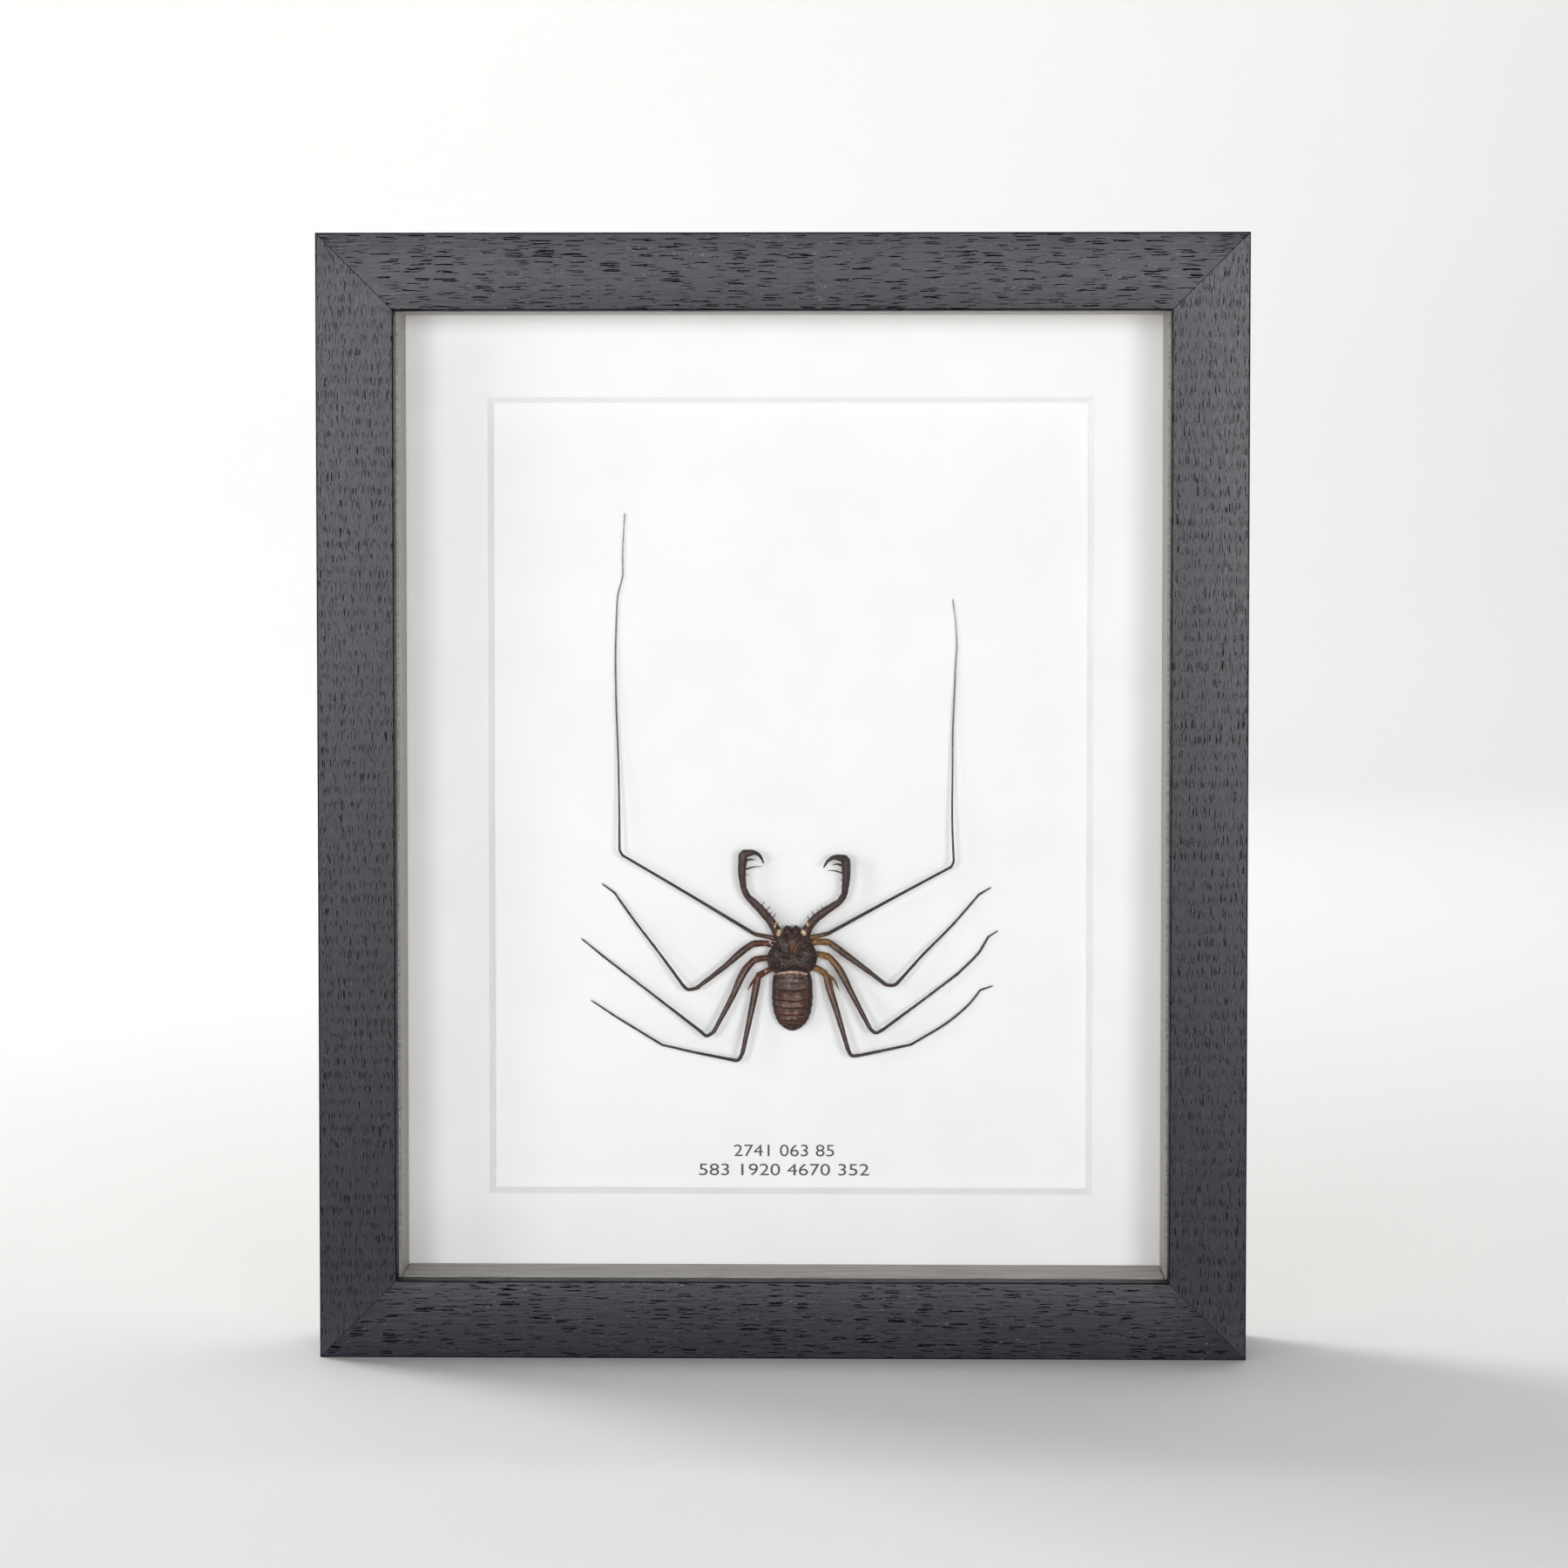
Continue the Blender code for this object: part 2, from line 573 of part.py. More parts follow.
def build():
    clear_scene()
    charcoal_wood = material("charcoal_wood", (0.075, 0.072, 0.078), 0.5)
    grey_wood = material("grey_wood", (0.26, 0.245, 0.23), 0.6)
    clear_glass = material("clear_glass", (0.95, 0.97, 0.96), 0.02, transmission=1.0)
    mount_board = material("mount_board", (0.88, 0.88, 0.87), 0.85)
    white_card = material("white_card", (0.9, 0.9, 0.89), 0.8)
    brown_board = material("brown_board", (0.32, 0.2, 0.11), 0.75)
    zinc_steel = material("zinc_steel", (0.6, 0.6, 0.58), 0.35, metallic=1.0)
    chitin = material("chitin", (0.075, 0.045, 0.035), 0.4)

    moulding("frame_rail_bottom", "bottom", charcoal_wood)
    moulding("frame_stile_right", "right", charcoal_wood)
    moulding("frame_rail_top", "top", charcoal_wood)
    moulding("frame_stile_left", "left", charcoal_wood)
    sheet("glass_pane", GLASS_FRONT, GLASS_THICKNESS, clear_glass)
    for side in SIDES:
        spacer(side, grey_wood)
    window_mount(mount_board)
    sheet("backing_card", CARD_FRONT, CARD_THICKNESS, white_card)
    whip_spider(chitin)
    sheet("backing_board", BOARD_FRONT, BOARD_THICKNESS, brown_board)
    for side in SIDES:
        for number, place in enumerate(point_places(side), start=1):
            framing_point(side, number, place, zinc_steel)
    sawtooth_hanger(zinc_steel)


build()
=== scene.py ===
# %% [markdown]
# # A whip spider in a box frame
#
# The object is a dried whip spider, fixed to a white card, in a deep wooden frame with a
# glass front. The engineering model of it is loaded first and stays where it is. Each
# cell after that makes one real piece, or one real finish, in the same place and size.
# Lengths are metres. The front of the frame faces -Y, and +Z is up.

import math

import bmesh
import bpy
import numpy as np
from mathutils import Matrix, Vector, noise


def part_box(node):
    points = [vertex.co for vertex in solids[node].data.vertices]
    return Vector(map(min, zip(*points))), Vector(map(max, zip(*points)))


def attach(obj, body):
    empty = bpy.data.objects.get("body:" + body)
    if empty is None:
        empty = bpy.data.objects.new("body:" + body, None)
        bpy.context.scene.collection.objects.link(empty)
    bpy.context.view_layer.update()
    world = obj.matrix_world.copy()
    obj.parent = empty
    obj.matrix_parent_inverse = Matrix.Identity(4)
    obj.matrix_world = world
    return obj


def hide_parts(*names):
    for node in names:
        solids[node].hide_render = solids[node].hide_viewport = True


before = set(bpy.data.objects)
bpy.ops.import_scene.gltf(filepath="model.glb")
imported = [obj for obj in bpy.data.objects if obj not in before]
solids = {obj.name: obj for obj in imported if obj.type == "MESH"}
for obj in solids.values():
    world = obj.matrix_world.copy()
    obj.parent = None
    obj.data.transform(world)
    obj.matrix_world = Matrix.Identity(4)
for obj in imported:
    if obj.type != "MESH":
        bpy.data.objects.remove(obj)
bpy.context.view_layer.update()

# %% [markdown]
# ## Where the camera stands
#
# A straight-on product photo is easiest to match with measured corners. The four outer
# corners of the frame and the four corners of its opening were read from the photo, and
# the place, the turn and the lens that put them there were solved. The lens is long, so
# the sides of the frame barely converge.

# %% Camera
MM = 0.001

photo_lens = bpy.data.cameras.new("photo_camera")
photo_lens.lens = 99.557
photo_lens.sensor_width = 36
photo_lens.shift_y = -0.06
photo_lens.clip_start = 0.01
photo_camera = bpy.data.objects.new("photo_camera", photo_lens)
photo_camera.location = (0.0205, -1.133, 0.2229)
photo_camera.rotation_euler = (math.radians(90 - 2.533), 0, math.radians(1.027))
bpy.context.scene.collection.objects.link(photo_camera)
bpy.context.scene.camera = photo_camera

# %% [markdown]
# ## Small helpers for node trees
#
# A material and a Geometry Nodes group are both trees of nodes. Adding a node by hand
# takes a line for the node, one for each setting and one for each link, so one helper
# does all three. An input that is given a socket is linked, and any other value is set.

# %% Add a node
def add(tree, kind, inputs=None, **settings):
    """Adds one node and returns it, with its settings made and its inputs filled."""
    node = tree.nodes.new(kind)
    for setting, value in settings.items():
        setattr(node, setting, value)
    for key, value in (inputs or {}).items():
        if isinstance(key, int):
            socket = node.inputs[key]
        else:
            socket = next(s for s in node.inputs if s.name == key and s.enabled)
        if isinstance(value, bpy.types.NodeSocket):
            tree.links.new(value, socket)
        else:
            socket.default_value = value
    return node


def calc(tree, operation, *values):
    """A Math node's result."""
    return add(tree, "ShaderNodeMath", dict(enumerate(values)), operation=operation).outputs[0]


def vector_calc(tree, operation, *values):
    """A Vector Math node's vector."""
    inputs = dict(enumerate(values))
    return add(tree, "ShaderNodeVectorMath", inputs, operation=operation).outputs[0]


def vector_of(tree, x=0.0, y=0.0, z=0.0):
    return add(tree, "ShaderNodeCombineXYZ", {"X": x, "Y": y, "Z": z}).outputs[0]


def step_up(tree, value, low, high, from_value=0.0, to_value=1.0):
    """Turns low to high of a value into from_value to to_value, softly at both ends."""
    inputs = {0: value, 1: low, 2: high, 3: from_value, 4: to_value}
    return add(tree, "ShaderNodeMapRange", inputs, interpolation_type="SMOOTHSTEP").outputs[0]


def grain(tree, place, size, detail=2.0, roughness=0.5):
    """Soft noise from 0 to 1 whose lumps are about that size."""
    inputs = {"Vector": place, "Scale": 1 / size, "Detail": detail, "Roughness": roughness}
    return add(tree, "ShaderNodeTexNoise", inputs).outputs["Fac"]


def blend(tree, factor, first, second):
    """A mix of two colours."""
    inputs = {"Factor": factor, "A": first, "B": second}
    return add(tree, "ShaderNodeMix", inputs, data_type="RGBA").outputs["Result"]


# %% [markdown]
# ## Helpers for finishes
#
# Every finish here is a Principled shader. Its colour, roughness and bump are driven by
# noise that reads Object coordinates, or an attribute where the pattern has to follow a
# length of wood or a leg. Colours are written as the eye reads them on a screen and
# turned into the linear values that the renderer counts with.

# %% Start a finish
def tone(red, green, blue):
    """A screen colour, 0 to 255, as the linear colour that a shader wants."""
    def linear(value):
        value /= 255
        return value / 12.92 if value <= 0.04045 else ((value + 0.055) / 1.055) ** 2.4

    return (linear(red), linear(green), linear(blue), 1.0)


def new_finish(name):
    """A new material with its tree and its Principled shader."""
    finish = bpy.data.materials.new(name)
    finish.use_nodes = True
    return finish, finish.node_tree, finish.node_tree.nodes["Principled BSDF"]


def cover(tree, shader, colour, roughness, **constants):
    """Links the shader's colour and roughness. A constant such as IOR=1.5 is set by name."""
    tree.links.new(colour, shader.inputs["Base Color"])
    tree.links.new(roughness, shader.inputs["Roughness"])
    for name, value in constants.items():
        shader.inputs[name.replace("_", " ")].default_value = value


def object_place(tree):
    return add(tree, "ShaderNodeTexCoord").outputs["Object"]


def attribute(tree, name, output="Fac"):
    return add(tree, "ShaderNodeAttribute", attribute_name=name).outputs[output]


def bump(tree, shader, height, depth, strength=1.0):
    """Raises the surface by height times depth, in metres, as the light sees it."""
    inputs = {"Height": height, "Distance": depth, "Strength": strength}
    node = add(tree, "ShaderNodeBump", inputs)
    tree.links.new(node.outputs["Normal"], shader.inputs["Normal"])


def stretched(tree, place, lengths, turn=(0.0, 0.0, 0.0)):
    """Divides a place by a length on each axis, so that one unit of it is that long."""
    scale = tuple(1 / length for length in lengths)
    inputs = {"Vector": place, "Rotation": turn, "Scale": scale}
    return add(tree, "ShaderNodeMapping", inputs).outputs[0]


# %% [markdown]
# ## Helpers for Geometry Nodes
#
# What repeats or follows a path is made by a Geometry Nodes tree. Each tree has named
# inputs for its sizes. A modifier keeps its values under the socket's identifier, such
# as Socket_2, so the helper looks that up from the name. The grown result is turned into
# a plain mesh and the modifier is taken off again, so that the piece carries no recipe
# that another program would have to understand.

# %% Grow a mesh with a tree
SOCKETS = {
    "float": "NodeSocketFloat",
    "int": "NodeSocketInt",
    "material": "NodeSocketMaterial",
}


def put(name, data):
    """An object in the scene for a mesh, a text or a lamp."""
    piece = bpy.data.objects.new(name, data)
    bpy.context.scene.collection.objects.link(piece)
    return piece


def new_tree(name, inputs):
    """An empty Geometry Nodes tree, and its given sockets by name."""
    tree = bpy.data.node_groups.new(name, "GeometryNodeTree")
    tree.interface.new_socket("Geometry", in_out="INPUT", socket_type="NodeSocketGeometry")
    tree.interface.new_socket("Geometry", in_out="OUTPUT", socket_type="NodeSocketGeometry")
    for input_name, kind in {**inputs, "Finish": "material"}.items():
        tree.interface.new_socket(input_name, in_out="INPUT", socket_type=SOCKETS[kind])
    return tree, tree.nodes.new("NodeGroupInput").outputs


def noted(tree, name, kind="FLOAT"):
    """A note that the points of the seed mesh carry."""
    inputs = {"Name": name}
    return add(tree, "GeometryNodeInputNamedAttribute", inputs, data_type=kind).outputs[0]


def end_tree(tree, given, geometry):
    """Every tree ends in real geometry that wears its finish."""
    real = add(tree, "GeometryNodeRealizeInstances", {"Geometry": geometry}).outputs[0]
    worn = add(tree, "GeometryNodeSetMaterial", {"Geometry": real, "Material": given["Finish"]})
    end = tree.nodes.new("NodeGroupOutput")
    tree.links.new(worn.outputs[0], end.inputs[0])
    return tree


def grow(name, seed_mesh, tree, **values):
    """Runs a tree on a mesh and returns the object that it grew, as a plain mesh."""
    piece = put(name, seed_mesh)
    modifier = piece.modifiers.new("grow", "NODES")
    modifier.node_group = tree
    for item in tree.interface.items_tree:
        if item.in_out == "INPUT" and item.name in values:
            modifier[item.identifier] = values[item.name]
    depsgraph = bpy.context.evaluated_depsgraph_get()
    grown = bpy.data.meshes.new_from_object(piece.evaluated_get(depsgraph))
    grown.name = name
    piece.modifiers.clear()
    piece.data = grown
    return piece


def wear(piece, slot, *nodes):
    """Ties a finished piece to the frame's body and hides the solids that it stands for. The slot
    is not used.
    """
    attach(piece, "root")
    if nodes:
        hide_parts(*nodes)
    triangles = sum(len(face.vertices) - 2 for face in piece.data.polygons)
    print(piece.name, triangles, "triangles")


# %% [markdown]
# ## The mitred mouldings
#
# The frame is four lengths of wooden moulding, cut at 45 degrees and joined. A length of
# moulding is one section that runs straight, so its shape follows a rule and a tree can
# make all four: the section is a closed loop of points, Curve to Mesh sweeps it along a
# line, and the ends are then pulled in by as much as each point lies from the outer edge,
# which is exactly what a mitre saw does. The tree also writes down, for every point, how
# far along the length and how deep in the section it lies, so that the grain of the wood
# can follow each length and stop at the mitre.

# %% The moulding's section
FRAME_WIDTH = 240 * MM
FRAME_HEIGHT = 291 * MM
FRAME_DEPTH = 36 * MM
FACE_WIDTH = 20 * MM
REBATE_WIDTH = 5 * MM
LIP_DEPTH = 6 * MM
ARRIS_ROUND = 0.45 * MM
ARRIS_STEPS = 5


def arris(inset, depth, start, end):
    """Points of a softened edge round a centre, angles in degrees."""
    angles = [math.radians(start + (end - start) * i / ARRIS_STEPS) for i in range(ARRIS_STEPS + 1)]
    return [(inset + ARRIS_ROUND * math.cos(a), depth + ARRIS_ROUND * math.sin(a)) for a in angles]


def section_loop():
    """The section as a loop of edges. Curve to Mesh turns its X to -Y and its Y to -Z."""
    wall = FACE_WIDTH - REBATE_WIDTH
    points = arris(ARRIS_ROUND, ARRIS_ROUND, 180, 270)
    points += arris(FACE_WIDTH - ARRIS_ROUND, ARRIS_ROUND, 270, 360)
    points += [(FACE_WIDTH, LIP_DEPTH), (wall, LIP_DEPTH), (wall, FRAME_DEPTH)]
    points += [(ARRIS_ROUND, FRAME_DEPTH), (0.0, FRAME_DEPTH - ARRIS_ROUND)]
    mesh = bpy.data.meshes.new("moulding_section")
    count = len(points)
    edges = [(i, (i + 1) % count) for i in range(count)]
    mesh.from_pydata([(-depth, -inset, 0.0) for inset, depth in points], edges, [])
    return mesh


print("points in the section:", len(section_loop().vertices))


# %% The tree that cuts a mitred length
def moulding_tree():
    tree, given = new_tree("mitred_moulding", {
        "Half Run": "float",
        "Reach": "float",
        "Mitre Gap": "float",
        "Segments": "int",
        "Pore Length": "float",
        "Pore Width": "float",
        "Board": "float",
        "Turn": "float",
    })
    half_run = given["Half Run"]
    section = add(tree, "GeometryNodeMeshToCurve", {"Mesh": given["Geometry"]}).outputs[0]
    start = vector_of(tree, x=calc(tree, "MULTIPLY", half_run, -1.0))
    ends = {"Start": start, "End": vector_of(tree, x=half_run)}
    line = add(tree, "GeometryNodeCurvePrimitiveLine", ends).outputs[0]
    stations = {"Curve": line, "Count": given["Segments"]}
    run = add(tree, "GeometryNodeResampleCurve", stations).outputs[0]
    sweep = {"Curve": run, "Profile Curve": section, "Fill Caps": True}
    swept = add(tree, "GeometryNodeCurveToMesh", sweep).outputs[0]

    place = add(tree, "GeometryNodeInputPosition").outputs[0]
    parts = add(tree, "ShaderNodeSeparateXYZ", {0: place}).outputs
    depth, inset = parts["Y"], parts["Z"]
    left_over = calc(tree, "SUBTRACT", half_run, calc(tree, "ADD", inset, given["Mitre Gap"]))
    along = calc(tree, "DIVIDE", calc(tree, "MULTIPLY", parts["X"], left_over), half_run)
    to_mitre = calc(tree, "SUBTRACT", left_over, calc(tree, "ABSOLUTE", along))

    pore_along = calc(tree, "DIVIDE", along, given["Pore Length"])
    pore_along = calc(tree, "ADD", pore_along, given["Board"])
    pore_inset = calc(tree, "DIVIDE", inset, given["Pore Width"])
    pore_depth = calc(tree, "DIVIDE", depth, given["Pore Width"])
    notes = (
        ("section_place", "FLOAT_VECTOR", vector_of(tree, along, inset, depth)),
        ("pore_place", "FLOAT_VECTOR", vector_of(tree, pore_along, pore_inset, pore_depth)),
        ("to_mitre", "FLOAT", to_mitre),
    )
    for note, kind, value in notes:
        inputs = {"Geometry": swept, "Name": note, "Value": value}
        swept = add(tree, "GeometryNodeStoreNamedAttribute", inputs, data_type=kind).outputs[0]

    laid = vector_of(
        tree,
        along,
        calc(tree, "SUBTRACT", depth, FRAME_DEPTH / 2),
        calc(tree, "SUBTRACT", inset, given["Reach"]),
    )
    cut = add(tree, "GeometryNodeSetPosition", {"Geometry": swept, "Position": laid}).outputs[0]
    turning = {
        "Geometry": cut,
        "Rotation": vector_of(tree, y=given["Turn"]),
        "Translation": (0.0, 0.0, FRAME_HEIGHT / 2),
    }
    return end_tree(tree, given, add(tree, "GeometryNodeTransform", turning).outputs[0])


mitred_moulding = moulding_tree()
print("nodes in the moulding's tree:", len(mitred_moulding.nodes))

# %% [markdown]
# ## The charcoal finish
#
# The wood is an open-pored veneer, stained charcoal and sprayed with a satin lacquer. The
# lacquer fills nothing, so every pore stays a short dark groove along the grain. A photo
# of the wood would show one piece only, and a texture gives new pores everywhere. Voronoi
# cells that are stretched along the length have one pore each, and their Chebychev
# distance makes it a dash of even width. The cells lie in a plane in which the face and
# the side of the moulding are unrolled, and noise bends the plane so that no dash is
# quite straight. A slow noise gathers the pores in groups, a fast one frays them, and the
# same mask makes them dark, dull and sunk. A thin darker line is drawn round the front
# edges and at the mitre joint. The face of the lip that looks into the box is darker too:
# that is painted shade.

# %% Charcoal lacquer
PORE_CELL = (1.1, 1.7, 1.0)
PORE_WANDER = 2.4


def charcoal_lacquer():
    finish, tree, shader = new_finish("charcoal_lacquer")
    pores = attribute(tree, "pore_place", "Vector")
    section = attribute(tree, "section_place", "Vector")
    section = add(tree, "ShaderNodeSeparateXYZ", {0: section}).outputs

    groups = grain(tree, stretched(tree, pores, (3.0, 6.0, 6.0)), 1.0, 2.0)
    breaks = grain(tree, stretched(tree, pores, (0.1, 0.8, 0.8)), 1.0, 1.0)
    wander = grain(tree, stretched(tree, pores, (0.4, 3.0, 3.0)), 1.0, 2.0)
    pore_parts = add(tree, "ShaderNodeSeparateXYZ", {0: pores}).outputs
    across = calc(tree, "SUBTRACT", pore_parts["Y"], pore_parts["Z"])
    across = calc(tree, "MULTIPLY_ADD", wander, PORE_WANDER, across)
    unrolled = stretched(tree, vector_of(tree, pore_parts["X"], across), PORE_CELL)
    pore_cells = add(
        tree, "ShaderNodeTexVoronoi", {"Vector": unrolled, "Scale": 1.0},
        voronoi_dimensions="2D", distance="CHEBYCHEV",
    ).outputs
    luck = add(tree, "ShaderNodeSeparateColor", {0: pore_cells["Color"]}).outputs[0]
    reach = calc(tree, "MULTIPLY", step_up(tree, groups, 0.36, 0.64, 0.16, 0.36), luck)
    reach = calc(tree, "MULTIPLY_ADD", breaks, 0.3, reach)
    pore = step_up(tree, calc(tree, "SUBTRACT", reach, pore_cells["Distance"]), 0.13, 0.21)
    ripple = grain(tree, stretched(tree, pores, (1.2, 2.6, 2.6)), 1.0, 3.0, 0.6)
    streak = grain(tree, stretched(tree, pores, (6.0, 1.6, 1.6)), 1.0, 3.0)
    fine = grain(tree, stretched(tree, pores, (0.1, 0.4, 0.4)), 1.0, 2.0)
    fleck_place = vector_calc(tree, "ADD", pores, (31.0, 17.0, 5.0))
    flecks = grain(tree, stretched(tree, fleck_place, (0.2, 0.45, 0.45)), 1.0, 0.0)
    fleck_groups = grain(tree, stretched(tree, fleck_place, (4.0, 5.0, 5.0)), 1.0, 1.0)
    fleck = step_up(tree, calc(tree, "MULTIPLY_ADD", fleck_groups, 0.45, flecks), 1.03, 1.08)

    paint = blend(tree, step_up(tree, streak, 0.3, 0.7), tone(14, 15, 24), tone(26, 27, 41))
    paint = blend(tree, step_up(tree, fine, 0.4, 0.7), paint, tone(24, 25, 37))
    paint = blend(tree, calc(tree, "MULTIPLY", fleck, 0.4), paint, tone(168, 168, 170))
    edge_in = calc(tree, "MINIMUM", section["Y"], calc(tree, "SUBTRACT", FACE_WIDTH, section["Y"]))
    edge_in = calc(tree, "MAXIMUM", edge_in, section["Z"])
    edge = step_up(tree, edge_in, 0.15 * MM, 0.5 * MM, 1.0, 0.0)
    mitre = step_up(tree, attribute(tree, "to_mitre"), 0.05 * MM, 0.2 * MM, 0.7, 0.0)
    edges_mitre_and_painted_shade = calc(tree, "MAXIMUM", calc(tree, "MULTIPLY", edge, 0.8), mitre)
    # Painted shade: the face of the lip that looks into the box is drawn darker.
    painted_lip_shade = step_up(tree, section["Y"], FACE_WIDTH - 0.4 * MM, FACE_WIDTH - 0.1 * MM, 0.0, 0.6)
    edges_mitre_and_painted_shade = calc(tree, "MAXIMUM", edges_mitre_and_painted_shade, painted_lip_shade)
    dark = calc(tree, "MAXIMUM", edges_mitre_and_painted_shade, pore)
    colour = blend(tree, dark, paint, tone(10, 10, 13))

    satin = step_up(tree, ripple, 0.25, 0.75, 0.3, 0.41)
    roughness = calc(tree, "MAXIMUM", satin, calc(tree, "MULTIPLY", dark, 0.85))
    cover(tree, shader, colour, roughness, Specular_IOR_Level=0.45)
    specular = calc(tree, "SUBTRACT", 0.45, calc(tree, "MULTIPLY", dark, 0.37))
    tree.links.new(specular, shader.inputs["Specular IOR Level"])
    height = calc(tree, "MULTIPLY_ADD", pore, -0.8, calc(tree, "MULTIPLY", ripple, 0.5))
    height = calc(tree, "MULTIPLY_ADD", fine, 0.06, height)
    bump(tree, shader, height, 0.16 * MM, 0.7)
    return finish


charcoal = charcoal_lacquer()

# %% [markdown]
# The four lengths are grown from the same tree. The rails show long pores and the stiles
# short ones, because their veneer was cut another way, so the pore length is an input.
# The sides are turned about the middle of the frame, a quarter turn each.

# %% The four lengths
MITRE_GAP = 0.02 * MM
LENGTHS = {
    "bottom": {"node": "frame_rail_bottom", "pore": 7.0 * MM, "width": 0.3 * MM, "board": 11.0},
    "right": {"node": "frame_stile_right", "pore": 3.4 * MM, "width": 0.15 * MM, "board": 47.0},
    "top": {"node": "frame_rail_top", "pore": 7.5 * MM, "width": 0.28 * MM, "board": 83.0},
    "left": {"node": "frame_stile_left", "pore": 3.2 * MM, "width": 0.14 * MM, "board": 139.0},
}
for quarter, (side, length) in enumerate(LENGTHS.items()):
    on_rail = side in ("bottom", "top")
    piece = grow(
        "moulding_" + side, section_loop(), mitred_moulding,
        **{
            "Half Run": (FRAME_WIDTH if on_rail else FRAME_HEIGHT) / 2,
            "Reach": (FRAME_HEIGHT if on_rail else FRAME_WIDTH) / 2,
            "Mitre Gap": MITRE_GAP,
            "Segments": 24,
            "Pore Length": length["pore"],
            "Pore Width": length["width"],
            "Board": length["board"],
            "Turn": -quarter * math.pi / 2,
            "Finish": charcoal,
        },
    )
    piece.data.shade_smooth()
    piece.data.set_sharp_from_angle(angle=math.radians(40))
    wear(piece, "charcoal_wood", length["node"])

# %% [markdown]
# ## The glass
#
# Picture glass is flat and clear, so the solid keeps its shape and only gets a finish.
# Real glass lets nearly all light through, but a renderer would have to find each lamp
# through it by luck. The pane is therefore hidden from the rays that carry light to the
# card, and stays visible to the camera and to reflections. A pane is never quite clean:
# the noise leaves a trace of haze on it.

# %% Picture glass
def picture_glass():
    finish, tree, shader = new_finish("picture_glass")
    shader.inputs["Base Color"].default_value = (0.996, 0.996, 0.996, 1.0)
    shader.inputs["Transmission Weight"].default_value = 1.0
    shader.inputs["IOR"].default_value = 1.5
    haze = grain(tree, object_place(tree), 18 * MM, 4.0, 0.6)
    tree.links.new(step_up(tree, haze, 0.45, 0.8, 0.0, 0.03), shader.inputs["Roughness"])
    return finish


def dress(node_name, finish):
    """Gives a solid that keeps its shape a better finish."""
    for slot in solids[node_name].material_slots:
        slot.material = finish


dress("glass_pane", picture_glass())
solids["glass_pane"].visible_shadow = False
solids["glass_pane"].visible_diffuse = False
print("glass:", [round(c, 4) for c in solids["glass_pane"].dimensions])

# %% [markdown]
# ## The spacers
#
# Between the glass and the card run four strips of wood. They are covered with a grey
# foil that has a printed wood grain along each strip. The grain is noise stretched along
# one axis, and for the two upright strips the same pattern is turned a quarter.

# %% Grey spacer foil
def spacer_foil(name, turn):
    finish, tree, shader = new_finish(name)
    place = object_place(tree)
    lines = grain(tree, stretched(tree, place, (14 * MM, 0.7 * MM, 0.7 * MM), turn), 1.0, 4.0, 0.62)
    bands = grain(tree, stretched(tree, place, (60 * MM, 3 * MM, 3 * MM), turn), 1.0, 2.0)
    ticks = grain(tree, stretched(tree, place, (3 * MM, 0.25 * MM, 0.25 * MM), turn), 1.0, 1.0)
    colour = blend(tree, bands, tone(157, 152, 145), tone(184, 179, 172))
    colour = blend(tree, step_up(tree, lines, 0.4, 0.7, 0.0, 0.6), colour, tone(112, 107, 101))
    colour = blend(tree, step_up(tree, ticks, 0.62, 0.72, 0.0, 0.5), colour, tone(84, 80, 76))
    cover(tree, shader, colour, step_up(tree, lines, 0.3, 0.7, 0.5, 0.68))
    height = calc(tree, "SUBTRACT", lines, calc(tree, "MULTIPLY", ticks, 0.4))
    bump(tree, shader, height, 0.05 * MM, 0.5)
    return finish


rail_foil = spacer_foil("spacer_foil_rails", (0.0, 0.0, 0.0))
stile_foil = spacer_foil("spacer_foil_stiles", (0.0, math.pi / 2, 0.0))
for side in ("bottom", "top"):
    dress("spacer_" + side, rail_foil)
for side in ("right", "left"):
    dress("spacer_" + side, stile_foil)

# %% [markdown]
# ## The mount and the card
#
# The mount is a sheet of board with a window cut in it. The blade is held at 45 degrees,
# so a narrow slope of the board's white core shows all round the window. That slope is
# what makes the fine line in the photo, so it is real geometry: six loops of points,
# joined by faces, with the paper's cut edge rounded by a few hundredths of a millimetre.
# The face paper and the core are two finishes on the one piece.

# %% Mount board
def board_paper(name, light, shade, fibre_size, fibre_depth):
    """Uncoated white paper: cloudy, with fine felt and a few grey fibres."""
    finish, tree, shader = new_finish(name)
    place = object_place(tree)
    cloud = grain(tree, place, 25 * MM, 2.0, 0.6)
    felt = grain(tree, place, fibre_size, 2.0, 0.65)
    fibres = grain(tree, stretched(tree, place, (1.4 * MM, 1.4 * MM, 0.12 * MM)), 1.0, 1.0)
    colour = blend(tree, step_up(tree, cloud, 0.3, 0.7), light, shade)
    colour = blend(tree, step_up(tree, felt, 0.35, 0.75, 0.0, 0.25), colour, shade)
    colour = blend(tree, step_up(tree, fibres, 0.72, 0.8, 0.0, 0.12), colour, tone(205, 203, 198))
    cover(tree, shader, colour, step_up(tree, felt, 0.3, 0.7, 0.78, 0.92), Specular_IOR_Level=0.25)
    bump(tree, shader, felt, fibre_depth, 0.5)
    return finish


mount_face = board_paper(
    "mount_face", tone(243, 243, 243), tone(240, 240, 240), 0.35 * MM, 0.02 * MM,
)
mount_core = board_paper(
    "mount_core", tone(238, 238, 237), tone(232, 232, 231), 0.12 * MM, 0.015 * MM,
)

# %% The window mount
WINDOW_LEFT = -78.0 * MM
WINDOW_RIGHT = 81.5 * MM
WINDOW_BOTTOM = 38.7 * MM
WINDOW_TOP = 249.4 * MM
CUT_ROUND = 0.06 * MM


